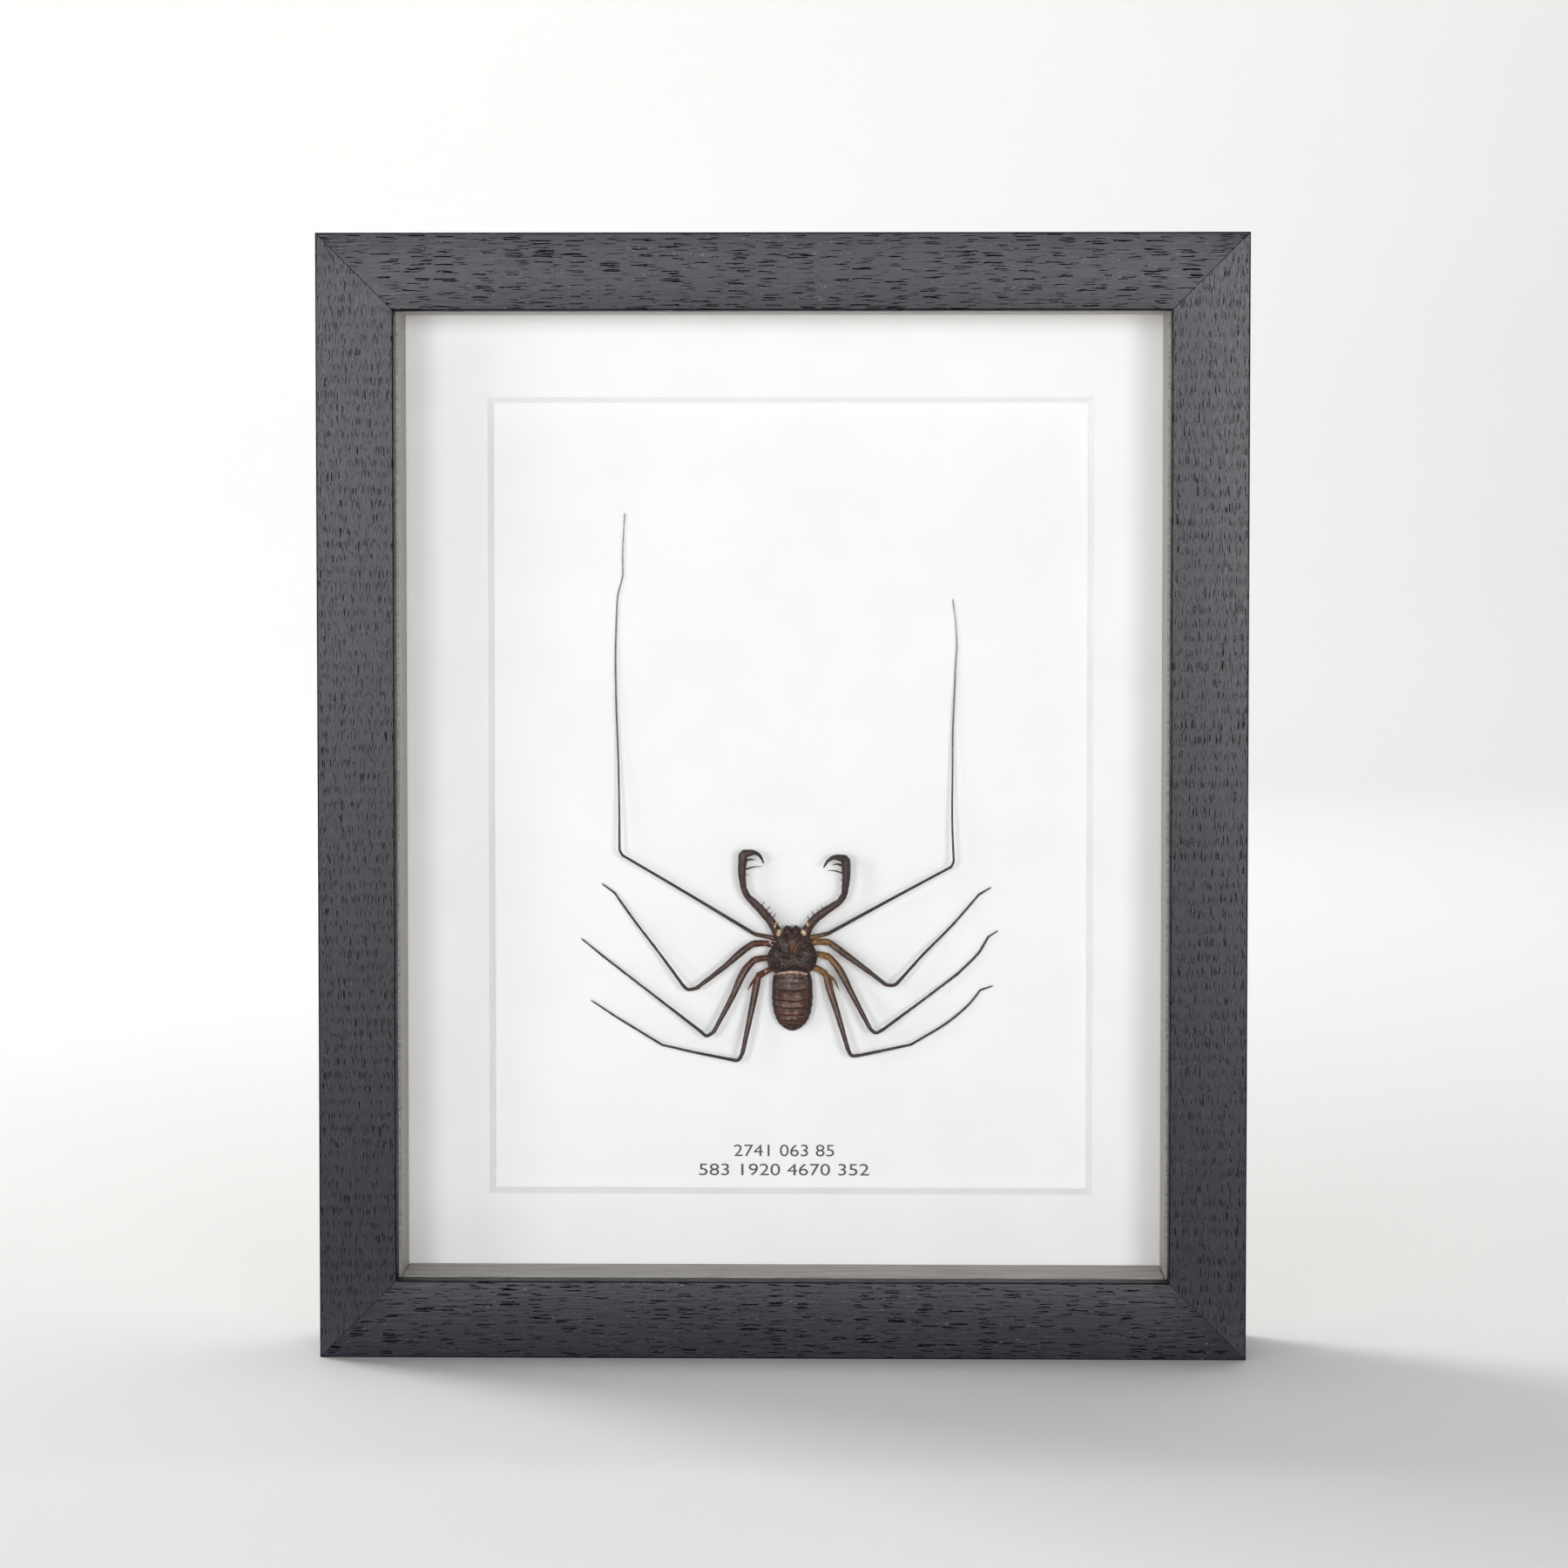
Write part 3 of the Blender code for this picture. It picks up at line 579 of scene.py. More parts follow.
def window_mount():
    (left, front, bottom), (right, back, top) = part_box("window_mount")
    bevel = back - front

    def loop(grow_by, y):
        x_low, x_high = WINDOW_LEFT - grow_by, WINDOW_RIGHT + grow_by
        z_low, z_high = WINDOW_BOTTOM - grow_by, WINDOW_TOP + grow_by
        return [(x_low, y, z_low), (x_high, y, z_low), (x_high, y, z_high), (x_low, y, z_high)]

    outer = [(left, bottom), (right, bottom), (right, top), (left, top)]
    loops = [
        [(x, front, z) for x, z in outer],
        loop(CUT_ROUND, front),
        loop(0.3 * CUT_ROUND, front + 0.35 * CUT_ROUND),
        loop(-0.6 * CUT_ROUND, front + 1.1 * CUT_ROUND),
        loop(-bevel, back),
        [(x, back, z) for x, z in outer],
    ]
    bm = bmesh.new()
    rings = [[bm.verts.new(point) for point in ring] for ring in loops]
    core_rings = (2, 3, 5)
    for number, (ring, following) in enumerate(zip(rings, rings[1:] + rings[:1])):
        for i in range(4):
            j = (i + 1) % 4
            face = bm.faces.new((ring[i], ring[j], following[j], following[i]))
            face.material_index = 1 if number in core_rings else 0
    bmesh.ops.recalc_face_normals(bm, faces=bm.faces)
    mesh = bpy.data.meshes.new("cut_window_mount")
    bm.to_mesh(mesh)
    bm.free()
    mesh.materials.append(mount_face)
    mesh.materials.append(mount_core)
    return put("cut_window_mount", mesh)


wear(window_mount(), "mount_board", "window_mount")
card_face = board_paper(
    "card_face", tone(244, 244, 244), tone(241, 241, 241), 0.22 * MM, 0.012 * MM,
)
dress("backing_card", card_face)

# %% [markdown]
# ## The printed label
#
# Two short lines are printed on the card under the specimen. Here they are plain figures
# of a generic kind. Each line is a text object, which is turned into a mesh before its
# place is applied, and it stands off the card by less than the thickness of ink.

# %% Label figures
def printed_ink():
    finish, tree, shader = new_finish("printed_ink")
    speckle = grain(tree, object_place(tree), 0.15 * MM, 2.0)
    colour = blend(tree, step_up(tree, speckle, 0.35, 0.8), tone(52, 51, 52), tone(92, 91, 92))
    cover(tree, shader, colour, step_up(tree, speckle, 0.3, 0.7, 0.6, 0.8))
    return finish


LABEL_LINES = (("2741 063 85", 26.6, 48.5), ("583 1920 4670 352", 45.1, 43.4))
TEXT_SIZE = 4.5 * MM
INK_LIFT = 0.03 * MM
card_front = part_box("backing_card")[0].y


def label_line(number, figures, width, up, ink):
    """One printed line in the middle of the frame, its width and its place up in millimetres."""
    text = bpy.data.curves.new("label", "FONT")
    text.body = figures
    text.size = TEXT_SIZE
    text.extrude = INK_LIFT / 2
    source = put("label", text)
    depsgraph = bpy.context.evaluated_depsgraph_get()
    mesh = bpy.data.meshes.new_from_object(source.evaluated_get(depsgraph))
    bpy.data.objects.remove(source)
    corners = np.array([vertex.co[:] for vertex in mesh.vertices])
    low, high = corners.min(axis=0), corners.max(axis=0)
    wider = width * MM / (high[0] - low[0])
    for vertex in mesh.vertices:
        across = (vertex.co.x - (low[0] + high[0]) / 2) * wider
        vertex.co = (across, card_front - INK_LIFT / 2 - vertex.co.z, up * MM + vertex.co.y)
    mesh.name = "label_line_%d" % number
    mesh.materials.clear()
    mesh.materials.append(ink)
    return put(mesh.name, mesh)


label_ink = printed_ink()
for number, (figures, width, up) in enumerate(LABEL_LINES, start=1):
    wear(label_line(number, figures, width, up, label_ink), "white_card")

# %% [markdown]
# ## The specimen's own axes
#
# The animal is easiest to describe on its own axes, in millimetres: across its body, up
# along its body towards the head, and height off the card. The rows below repeat those of
# the engineering model. A limb is a row of points from the body to the tip, each with
# its radius, and the numbers after it say at which points one article ends and the next
# begins. The animal itself is made as several fine pieces that together stand for the
# one solid.

# %% Places on the card
SPECIMEN_ACROSS = 1.75
SPECIMEN_UP = 101.0


def on_card(across, up, height):
    """A place on the specimen, from its own axes in millimetres."""
    x = (SPECIMEN_ACROSS + across) * MM
    return Vector((x, card_front - height * MM, (SPECIMEN_UP + up) * MM))


# %% The limbs on the left
LEFT_LIMBS = {
    "pedipalp": (
        (
            (-2.6, 5.6, 3.3, 1.2), (-4.0, 8.7, 3.9, 1.25), (-5.7, 11.1, 4.2, 1.15),
            (-8.3, 14.1, 4.7, 1.1), (-11.2, 17.0, 5.2, 0.82), (-12.3, 19.2, 5.4, 0.82),
            (-12.7, 23.1, 5.5, 1.05), (-12.4, 28.3, 5.5, 1.2), (-11.3, 28.5, 5.5, 1.0),
            (-9.5, 28.8, 5.4, 0.62), (-8.0, 27.8, 5.2, 0.4), (-7.0, 25.8, 5.0, 0.16),
        ),
        (0, 1, 4, 5, 7, 9, 11),
    ),
    "whip_leg": (
        (
            (-3.3, 5.6, 3.2, 0.7), (-5.6, 6.2, 3.6, 0.62), (-9.2, 6.9, 3.9, 0.5),
            (-26.7, 17.6, 5.2, 0.4), (-44.2, 27.9, 5.2, 0.34), (-45.0, 29.3, 5.2, 0.32),
            (-45.1, 38.8, 4.0, 0.28), (-45.3, 49.0, 2.8, 0.26), (-46.1, 71.9, 1.3, 0.23),
            (-46.2, 81.0, 0.9, 0.21), (-45.9, 90.7, 0.7, 0.2), (-45.6, 96.1, 0.7, 0.18),
            (-44.3, 101.5, 0.7, 0.17), (-44.3, 106.7, 0.7, 0.16), (-44.0, 113.2, 0.7, 0.15),
            (-43.7, 117.9, 0.7, 0.13),
        ),
        (0, 2, 4, 5, 15),
    ),
    "second_leg": (
        (
            (-4.1, 3.9, 2.7, 0.8), (-6.7, 4.5, 3.2, 0.8), (-9.8, 4.5, 4.0, 0.85),
            (-11.8, 3.2, 4.5, 0.95), (-17.0, -1.2, 5.6, 0.75), (-24.7, -7.1, 6.4, 0.5),
            (-27.1, -7.4, 6.2, 0.45), (-28.4, -6.2, 5.9, 0.42), (-34.3, 1.6, 4.2, 0.34),
            (-40.8, 9.8, 2.4, 0.3), (-46.6, 17.6, 0.8, 0.26), (-49.5, 19.7, 0.6, 0.18),
        ),
        (0, 2, 5, 7, 10, 11),
    ),
    "third_leg": (
        (
            (-4.3, 0.6, 2.7, 0.8), (-6.9, 0.6, 3.2, 0.8), (-9.6, 0.2, 4.0, 0.85),
            (-11.5, -1.9, 4.4, 1.0), (-15.3, -9.5, 5.6, 0.8), (-20.2, -18.7, 6.4, 0.52),
            (-22.1, -19.7, 6.3, 0.45), (-23.8, -18.4, 6.0, 0.42), (-36.6, -8.9, 3.4, 0.32),
            (-49.7, 0.8, 0.8, 0.26), (-55.0, 5.1, 0.6, 0.18),
        ),
        (0, 2, 5, 7, 9, 10),
    ),
    "fourth_leg": (
        (
            (-3.7, -1.5, 2.7, 0.8), (-6.5, -3.0, 3.2, 0.8), (-8.5, -4.1, 3.8, 0.85),
            (-9.0, -6.7, 4.2, 0.95), (-10.5, -14.3, 5.6, 0.8), (-12.6, -24.3, 6.4, 0.55),
            (-13.8, -26.1, 6.3, 0.48), (-16.0, -25.9, 6.1, 0.42), (-24.5, -24.4, 4.8, 0.34),
            (-33.8, -22.5, 3.4, 0.3), (-46.0, -15.5, 0.9, 0.26), (-52.4, -11.3, 0.6, 0.18),
        ),
        (0, 2, 5, 7, 9, 10, 11),
    ),
    "fang": (((-0.6, 6.0, 3.4, 1.0), (-0.75, 8.2, 3.3, 1.1), (-0.7, 9.2, 3.0, 0.8)), (0, 2)),
}

# %% The limbs on the right
RIGHT_LIMBS = {
    "pedipalp": (
        (
            (3.2, 5.6, 3.3, 1.2), (4.6, 8.7, 3.9, 1.25), (6.3, 10.8, 4.2, 1.15),
            (9.4, 13.3, 4.7, 1.1), (12.9, 15.6, 5.2, 0.82), (14.2, 17.5, 5.4, 0.82),
            (14.7, 21.8, 5.5, 1.08), (14.6, 26.9, 5.5, 1.2), (13.7, 27.2, 5.5, 1.0),
            (11.7, 27.6, 5.4, 0.62), (9.9, 26.5, 5.2, 0.4), (8.7, 24.6, 5.0, 0.16),
        ),
        (0, 1, 4, 5, 7, 9, 11),
    ),
    "whip_leg": (
        (
            (4.1, 5.8, 3.2, 0.7), (6.7, 6.4, 3.6, 0.62), (10.0, 7.2, 3.9, 0.5),
            (26.3, 16.3, 5.2, 0.4), (42.4, 25.0, 5.2, 0.34), (43.0, 26.3, 5.2, 0.32),
            (42.6, 37.8, 4.0, 0.28), (42.7, 49.1, 2.8, 0.26), (42.8, 61.4, 1.6, 0.24),
            (43.3, 72.5, 1.0, 0.22), (43.5, 78.1, 0.8, 0.2), (43.8, 82.2, 0.7, 0.18),
            (43.6, 87.9, 0.7, 0.16), (42.7, 95.3, 0.7, 0.13),
        ),
        (0, 2, 4, 5, 13),
    ),
    "second_leg": (
        (
            (4.7, 4.3, 2.7, 0.8), (7.3, 4.9, 3.2, 0.8), (10.2, 4.9, 4.0, 0.85),
            (12.5, 3.2, 4.5, 0.95), (17.9, -0.6, 5.6, 0.75), (25.3, -6.1, 6.4, 0.5),
            (27.6, -6.1, 6.2, 0.45), (28.9, -4.9, 5.9, 0.42), (35.2, 1.9, 4.2, 0.34),
            (42.6, 9.2, 2.4, 0.3), (49.8, 17.3, 0.8, 0.26), (52.5, 18.9, 0.6, 0.18),
        ),
        (0, 2, 5, 7, 10, 11),
    ),
    "third_leg": (
        (
            (5.1, 1.6, 2.7, 0.8), (7.7, 1.6, 3.2, 0.8), (10.3, 1.0, 4.0, 0.85),
            (12.2, -1.3, 4.4, 1.0), (16.3, -8.7, 5.6, 0.8), (21.1, -17.8, 6.4, 0.52),
            (22.6, -18.8, 6.3, 0.45), (24.4, -18.0, 6.0, 0.42), (33.9, -11.2, 3.8, 0.34),
            (44.3, -3.5, 2.0, 0.3), (50.1, 2.4, 0.9, 0.28), (52.2, 6.0, 0.7, 0.24),
            (54.4, 7.4, 0.6, 0.18),
        ),
        (0, 2, 5, 7, 9, 11, 12),
    ),
    "fourth_leg": (
        (
            (4.5, -1.3, 2.7, 0.8), (7.2, -2.2, 3.2, 0.8), (9.3, -3.5, 3.8, 0.85),
            (10.0, -6.1, 4.2, 0.95), (12.4, -13.7, 5.6, 0.8), (15.2, -23.2, 6.4, 0.55),
            (16.2, -24.8, 6.3, 0.48), (18.3, -24.8, 6.1, 0.42), (31.9, -22.2, 3.8, 0.32),
            (43.1, -15.3, 2.0, 0.3), (48.0, -10.9, 0.9, 0.26), (50.1, -8.1, 0.7, 0.24),
            (53.0, -7.1, 0.6, 0.18),
        ),
        (0, 2, 5, 7, 8, 11, 12),
    ),
    "fang": (((1.4, 6.0, 3.2, 1.0), (1.5, 8.2, 3.0, 1.1), (1.45, 9.2, 2.8, 0.8)), (0, 2)),
}
LIMB_SETS = {"left": LEFT_LIMBS, "right": RIGHT_LIMBS}

# %% [markdown]
# ## How a jointed limb is grown
#
# An arthropod's leg is a chain of stiff tubes, its articles, with a soft joint between
# each two. Each article is drawn as a smooth curve through its rows. It reaches a little
# past both joints and closes there like the end of an egg, so that two articles overlap
# in a narrow neck as the real ones do. What comes out is a wire of bare edges whose
# points carry their radius, their heading and how far along the limb they are. One tree
# then sweeps a ring along every wire.

# %% One article as a smooth row of points
JOINT_OVERLAP = 0.6
END_CAP = np.array((0.0, 0.03, 0.12, 0.3, 0.6, 1.0))
THINNEST_END = 0.12


def smooth_rows(rows, per_span=12):
    """A smooth curve through uneven rows. A row's tangent weighs its shorter span more."""
    points = np.array(rows, dtype=float)
    spans = np.linalg.norm(np.diff(points[:, :3], axis=0), axis=1)
    slopes = np.diff(points, axis=0) / spans[:, None]
    tangents = np.vstack((slopes[:1], slopes[-1:]))
    if len(points) > 2:
        before, after = spans[:-1, None], spans[1:, None]
        middle = (slopes[:-1] * after + slopes[1:] * before) / (before + after)
        tangents = np.vstack((slopes[:1], middle, slopes[-1:]))
    result = []
    for i, span in enumerate(spans):
        for t in np.arange(per_span) / per_span:
            result.append(
                (2 * t ** 3 - 3 * t ** 2 + 1) * points[i]
                + (t ** 3 - 2 * t ** 2 + t) * span * tangents[i]
                + (3 * t ** 2 - 2 * t ** 3) * points[i + 1]
                + (t ** 3 - t ** 2) * span * tangents[i + 1]
            )
    return np.array(result + [points[-1]])


def article(rows, is_tip, spacing, swell):
    """Rows of (across, up, height, radius) for one article, close together."""
    curve = smooth_rows(rows)
    steps = np.linalg.norm(np.diff(curve[:, :3], axis=0), axis=1)
    length = np.concatenate(([0.0], np.cumsum(steps)))
    past_start = JOINT_OVERLAP * curve[0, 3]
    past_end = 0.0001 if is_tip else JOINT_OVERLAP * curve[-1, 3]
    first, last = curve[0].copy(), curve[-1].copy()
    first[:3] += (curve[0, :3] - curve[1, :3]) / steps[0] * past_start
    last[:3] += (curve[-1, :3] - curve[-2, :3]) / steps[-1] * past_end
    curve = np.vstack((first, curve, last))
    length = np.concatenate(([-past_start], length, [length[-1] + past_end]))
    low, high = length[0], length[-1]
    thick_start, thick_end = curve[0, 3], curve[-1, 3]
    middle = np.arange(low + 1.2 * thick_start, high - 1.2 * thick_end, spacing)
    places = np.concatenate((low + END_CAP * thick_start, middle, high - END_CAP * thick_end))
    places = np.unique(np.round(np.clip(places, low, high), 4))
    rows = np.column_stack([np.interp(places, length, curve[:, k]) for k in range(4)])
    from_start = np.clip((places - low) / thick_start, 0, 1)
    from_end = np.clip((high - places) / thick_end, 0, 1)
    rounding = np.sqrt(1 - (1 - from_start) ** 2) * np.sqrt(1 - (1 - from_end) ** 2)
    rows[:, 3] *= np.maximum(rounding, THINNEST_END)
    from_swelling = (high - 1.2 * thick_end - places) / (1.6 * thick_end)
    rows[:, 3] *= 1 + swell * np.exp(-(from_swelling ** 2))
    return rows


# %% A wire with notes on its points
def wire_mesh(name, chains):
    """A mesh of bare edges. Each chain is a list of (place, {note: value})."""
    places = []
    edges = []
    for chain in chains:
        start = len(places)
        places += [place for place, _ in chain]
        edges += [(start + i, start + i + 1) for i in range(len(chain) - 1)]
    mesh = bpy.data.meshes.new(name)
    mesh.from_pydata(places, edges, [])
    notes = [note for chain in chains for _, note in chain]
    for key, value in notes[0].items():
        is_vector = isinstance(value, Vector)
        layer = mesh.attributes.new(key, "FLOAT_VECTOR" if is_vector else "FLOAT", "POINT")
        for item, note in zip(layer.data, notes):
            if is_vector:
                item.vector = note[key]
            else:
                item.value = note[key]
    return mesh


def limb_chains(limb, spacing, swell, side=0.0):
    """The chains of one limb, one for each article, with their notes."""
    rows, joints = limb
    articles = []
    for first, last in zip(joints, joints[1:]):
        is_tip = last == joints[-1]
        articles.append(article(rows[first:last + 1], is_tip, spacing, swell))
    whole = sum(len(part) for part in articles)
    chains = []
    done = 0
    for number, part in enumerate(articles):
        places = [on_card(*row[:3]) for row in part]
        chain = []
        for i, place in enumerate(places):
            run = places[min(i + 1, len(places) - 1)] - places[max(i - 1, 0)]
            chain.append((place, {
                "girth": part[i][3] * MM,
                "along": (done + i) / whole,
                "part_along": i / (len(places) - 1),
                "article": float(number),
                "side": side,
                "heading": run.normalized(),
            }))
        done += len(part)
        chains.append(chain)
    return chains


# %% The tree that sweeps a limb
def limb_tree():
    tree, given = new_tree("jointed_limb", {"Sides": "int"})
    wires = add(tree, "GeometryNodeMeshToCurve", {"Mesh": given["Geometry"]}).outputs[0]
    ring_inputs = {"Resolution": given["Sides"], "Radius": 1.0}
    ring = add(tree, "GeometryNodeCurvePrimitiveCircle", ring_inputs).outputs[0]
    girth = noted(tree, "girth")
    sweep = {"Curve": wires, "Profile Curve": ring, "Scale": girth, "Fill Caps": True}
    return end_tree(tree, given, add(tree, "GeometryNodeCurveToMesh", sweep).outputs[0])


jointed_limb = limb_tree()

# %% [markdown]
# ## Chitin
#
# The shell of an arthropod is hard, thin and glossy, in browns that change along a leg:
# reddish or ochre where it leaves the body, brown along the thigh, nearly black beyond
# the knee. A colour ramp reads the note that says how far along the limb a point is. The
# mottling is noise in real millimetres, and the gloss comes from a low roughness with a
# thin coat, broken by a fine bump.

# %% Chitin of the limbs
def limb_chitin(name, stops, left_base, right_base, base_reach, roughness):
    finish, tree, shader = new_finish(name)
    place = object_place(tree)
    along = attribute(tree, "along")
    ramp = add(tree, "ShaderNodeValToRGB", {"Fac": along})
    elements = ramp.color_ramp.elements
    for at, colour in stops[2:]:
        elements.new(at).color = colour
    for element, (at, colour) in zip(elements, sorted(stops, key=lambda stop: stop[0])):
        element.position = at
        element.color = colour
    base = blend(tree, attribute(tree, "side"), left_base, right_base)
    near_body = step_up(tree, along, 0.4 * base_reach, base_reach, 0.9, 0.0)
    colour = blend(tree, near_body, ramp.outputs["Color"], base)

    mottle = grain(tree, place, 1.1 * MM, 3.0, 0.6)
    speck = grain(tree, place, 0.28 * MM, 3.0, 0.6)
    colour = blend(tree, step_up(tree, mottle, 0.35, 0.65, 0.0, 0.65), colour, tone(20, 14, 13))
    colour = blend(tree, step_up(tree, speck, 0.58, 0.75, 0.0, 0.3), colour, tone(140, 108, 84))
    part_along = attribute(tree, "part_along")
    start_of_part = step_up(tree, part_along, 0.0, 0.05, 0.6, 0.0)
    end_of_part = step_up(tree, part_along, 0.93, 1.0, 0.0, 0.6)
    joint = calc(tree, "MAXIMUM", start_of_part, end_of_part)
    colour = blend(tree, joint, colour, tone(24, 16, 14))
    cover(
        tree, shader, colour, step_up(tree, speck, 0.3, 0.7, *roughness),
        Specular_IOR_Level=0.22, Coat_Weight=0.15, Coat_Roughness=0.12,
    )
    height = calc(tree, "MULTIPLY_ADD", mottle, 0.6, speck)
    bump(tree, shader, height, 0.08 * MM, 0.5)
    return finish


leg_chitin = limb_chitin(
    "leg_chitin",
    (
        (0.0, tone(86, 58, 46)), (1.0, tone(52, 42, 38)), (0.16, tone(84, 62, 52)),
        (0.38, tone(64, 47, 41)), (0.5, tone(36, 28, 26)), (0.72, tone(46, 37, 34)),
    ),
    tone(104, 58, 42), tone(140, 98, 48), 0.2, (0.3, 0.48),
)
palp_chitin = limb_chitin(
    "palp_chitin",
    (
        (0.0, tone(86, 56, 44)), (1.0, tone(52, 40, 36)), (0.16, tone(74, 56, 49)),
        (0.6, tone(66, 51, 46)),
    ),
    tone(78, 46, 34), tone(78, 46, 34), 0.1, (0.3, 0.46),
)
whip_chitin = limb_chitin(
    "whip_chitin",
    (
        (0.0, tone(72, 48, 38)), (1.0, tone(200, 197, 195)), (0.05, tone(44, 36, 34)),
        (0.28, tone(40, 35, 35)), (0.6, tone(82, 78, 78)), (0.85, tone(142, 139, 138)),
    ),
    tone(86, 54, 42), tone(130, 92, 50), 0.07, (0.35, 0.5),
)
fang_chitin = limb_chitin(
    "fang_chitin",
    ((0.0, tone(90, 56, 54)), (1.0, tone(56, 36, 42))),
    tone(90, 56, 54), tone(90, 56, 54), 0.1, (0.2, 0.35),
)
spur_chitin = limb_chitin(
    "spur_chitin",
    ((0.0, tone(104, 66, 46)), (1.0, tone(70, 50, 40))),
    tone(112, 68, 46), tone(140, 102, 54), 1.4, (0.3, 0.46),
)

# %% [markdown]
# A swept or turned form is too even for something that has grown and then dried. One
# helper pushes every point in or out along its normal, by noise of a given size. It is
# used for the limbs here, and for the soft skins further on.

# %% Uneven surfaces
def roughen(piece, lump, depth):
    """Moves every point of a grown piece in or out by smooth noise, both in millimetres."""
    mesh = piece.data
    normals = [vertex.normal.copy() for vertex in mesh.vertices]
    for vertex, normal in zip(mesh.vertices, normals):
        vertex.co += normal * depth * MM * noise.fractal(vertex.co / (lump * MM), 0.7, 2.0, 3)


# %% Legs, pedipalps and fangs
WALKING_LEGS = ("second_leg", "third_leg", "fourth_leg")


def swept_piece(name, chains, sides, finish, uneven=()):
    """Sweeps chains into one smooth piece of the specimen."""
    piece = grow(name, wire_mesh(name, chains), jointed_limb, Sides=sides, Finish=finish)
    if uneven:
        roughen(piece, *uneven)
    piece.data.shade_smooth()
    wear(piece, "chitin", "whip_spider")
    return piece


def paired_chains(limb_names, spacing, swell):
    """The chains of the limbs with those names on both sides."""
    chains = []
    for side, limbs in enumerate(LIMB_SETS.values()):
        for limb_name in limb_names:
            chains += limb_chains(limbs[limb_name], spacing, swell, float(side))
    return chains


walking_legs = swept_piece(
    "walking_legs", paired_chains(WALKING_LEGS, 0.35, 0.1), 16, leg_chitin, (1.1, 0.055),
)
pedipalps = swept_piece(
    "pedipalps", paired_chains(("pedipalp",), 0.25, 0.06), 24, palp_chitin, (0.8, 0.085),
)
swept_piece("fangs", paired_chains(("fang",), 0.12, 0.0), 24, fang_chitin, (0.6, 0.22))

# %% [markdown]
# ## The whips
#
# The first pair of legs isn't walked on. Past the knee each one is a feeler of more than
# a hundred short rings. The same tree sweeps them, but the radius rises and falls a
# little for each ring, so the outline is beaded as it is on the animal.

# %% Whip legs
RING_LENGTH = 1.3
RING_SWELL = 0.13


def ringed(chain):
    """Makes one chain beaded: each ring is thin at its start and thick at its end."""
    run = 0.0
    beaded = []
    previous = chain[0][0]
    for place, note in chain:
        run += (place - previous).length / MM
        previous = place
        part = (run / RING_LENGTH) % 1.0
        girth = note["girth"] * (1 - RING_SWELL / 2 + RING_SWELL * part ** 2)
        beaded.append((place, {**note, "girth": girth}))
    return beaded


whip_chains = []
for side, limbs in enumerate(LIMB_SETS.values()):
    chains = limb_chains(limbs["whip_leg"], 0.26, 0.1, float(side))
    whip_chains += chains[:3] + [ringed(chain) for chain in chains[3:]]
whips = swept_piece("whip_legs", whip_chains, 10, whip_chitin)

# %% [markdown]
# ## The head shield
#
# One hard plate covers the front of the body. It is kidney-shaped and low, with a pit in
# the middle, furrows that run out from it, and swollen lobes between them, the largest
# at the back. It is built as rings from the underside up to the top, each one the same
# outline drawn smaller, and the lobes and furrows are added to the height of each point.
# The rim, the pale streak on it and the brown patch in front of the pit are noted on the
# points for the finish.

# %% Outline and relief of the shield
SHIELD_OUTLINE = (
    (0.7, 7.2), (-1.9, 7.3), (-3.5, 6.7), (-4.1, 4.5), (-5.6, 2.5), (-6.1, 0.1),
    (-5.3, -2.2), (-3.0, -3.3), (0.4, -2.6), (3.8, -3.2), (6.0, -2.3), (7.0, 0.4),
    (6.6, 2.9), (5.5, 4.9), (4.9, 6.7), (3.1, 7.3),
)
SHIELD_HEIGHT = 4.0
SHIELD_RISE = 1.9
SHIELD_DROP = 2.6
SHIELD_LOBES = (
    (-3.9, 0.2, 1.25, 0.75), (-3.3, -1.5, 1.1, 0.7), (4.6, 0.2, 1.5, 0.55), (3.6, -1.6, 1.3, 0.6),
    (-2.2, 2.2, 0.8, 0.4), (3.6, 2.4, 1.0, 0.36), (-2.6, 4.7, 1.2, 0.45), (3.4, 5.0, 1.2, 0.4),
    (1.1, 4.1, 1.1, 0.42), (1.0, 5.9, 0.9, 0.25), (-0.6, -1.0, 0.55, 0.42), (0.9, -1.2, 0.5, 0.36),
    (-4.6, 1.8, 0.7, 0.25), (5.6, 2.1, 0.7, 0.2), (0.3, -2.2, 0.6, 0.3), (-1.9, -2.4, 0.6, 0.3),
    (0.1, 1.4, 0.7, -0.8), (-1.4, 0.7, 0.6, -0.35), (1.7, 0.8, 0.6, -0.35), (-2.9, -0.6, 0.4, -0.3),
)
SHIELD_FURROWS = (
    ((-0.2, 1.7), (-3.9, 3.6)), ((-0.4, 1.1), (-2.6, 1.0)), ((-2.6, 1.0), (-5.2, 1.3)),
    ((-0.4, 0.7), (-1.6, -0.8)), ((-1.6, -0.8), (-2.2, -2.8)), ((-1.8, -0.5), (-5.0, -0.9)),
    ((0.5, 1.7), (4.9, 3.8)), ((0.6, 1.2), (6.2, 1.0)), ((0.5, 0.6), (1.8, -0.7)),
    ((1.8, -0.7), (2.4, -2.7)), ((0.0, 2.0), (-0.8, 6.8)), ((0.4, 2.1), (2.5, 6.9)),
)
FURROW_SINK = 0.3
FURROW_HALF = 0.24


def to_segment(point, start, end):
    """Distance in the plane of the card from a point to a straight furrow."""
    run = Vector(end) - Vector(start)
    part = (Vector(point) - Vector(start)).dot(run) / run.length_squared
    return (Vector(start) + run * min(max(part, 0.0), 1.0) - Vector(point)).length


def unevenness(across, up, size):
    """Smooth noise from about -1 to 1, whose lumps are that many millimetres."""
    return noise.fractal(Vector((across / size, up / size, 7.3)), 0.7, 2.0, 4)


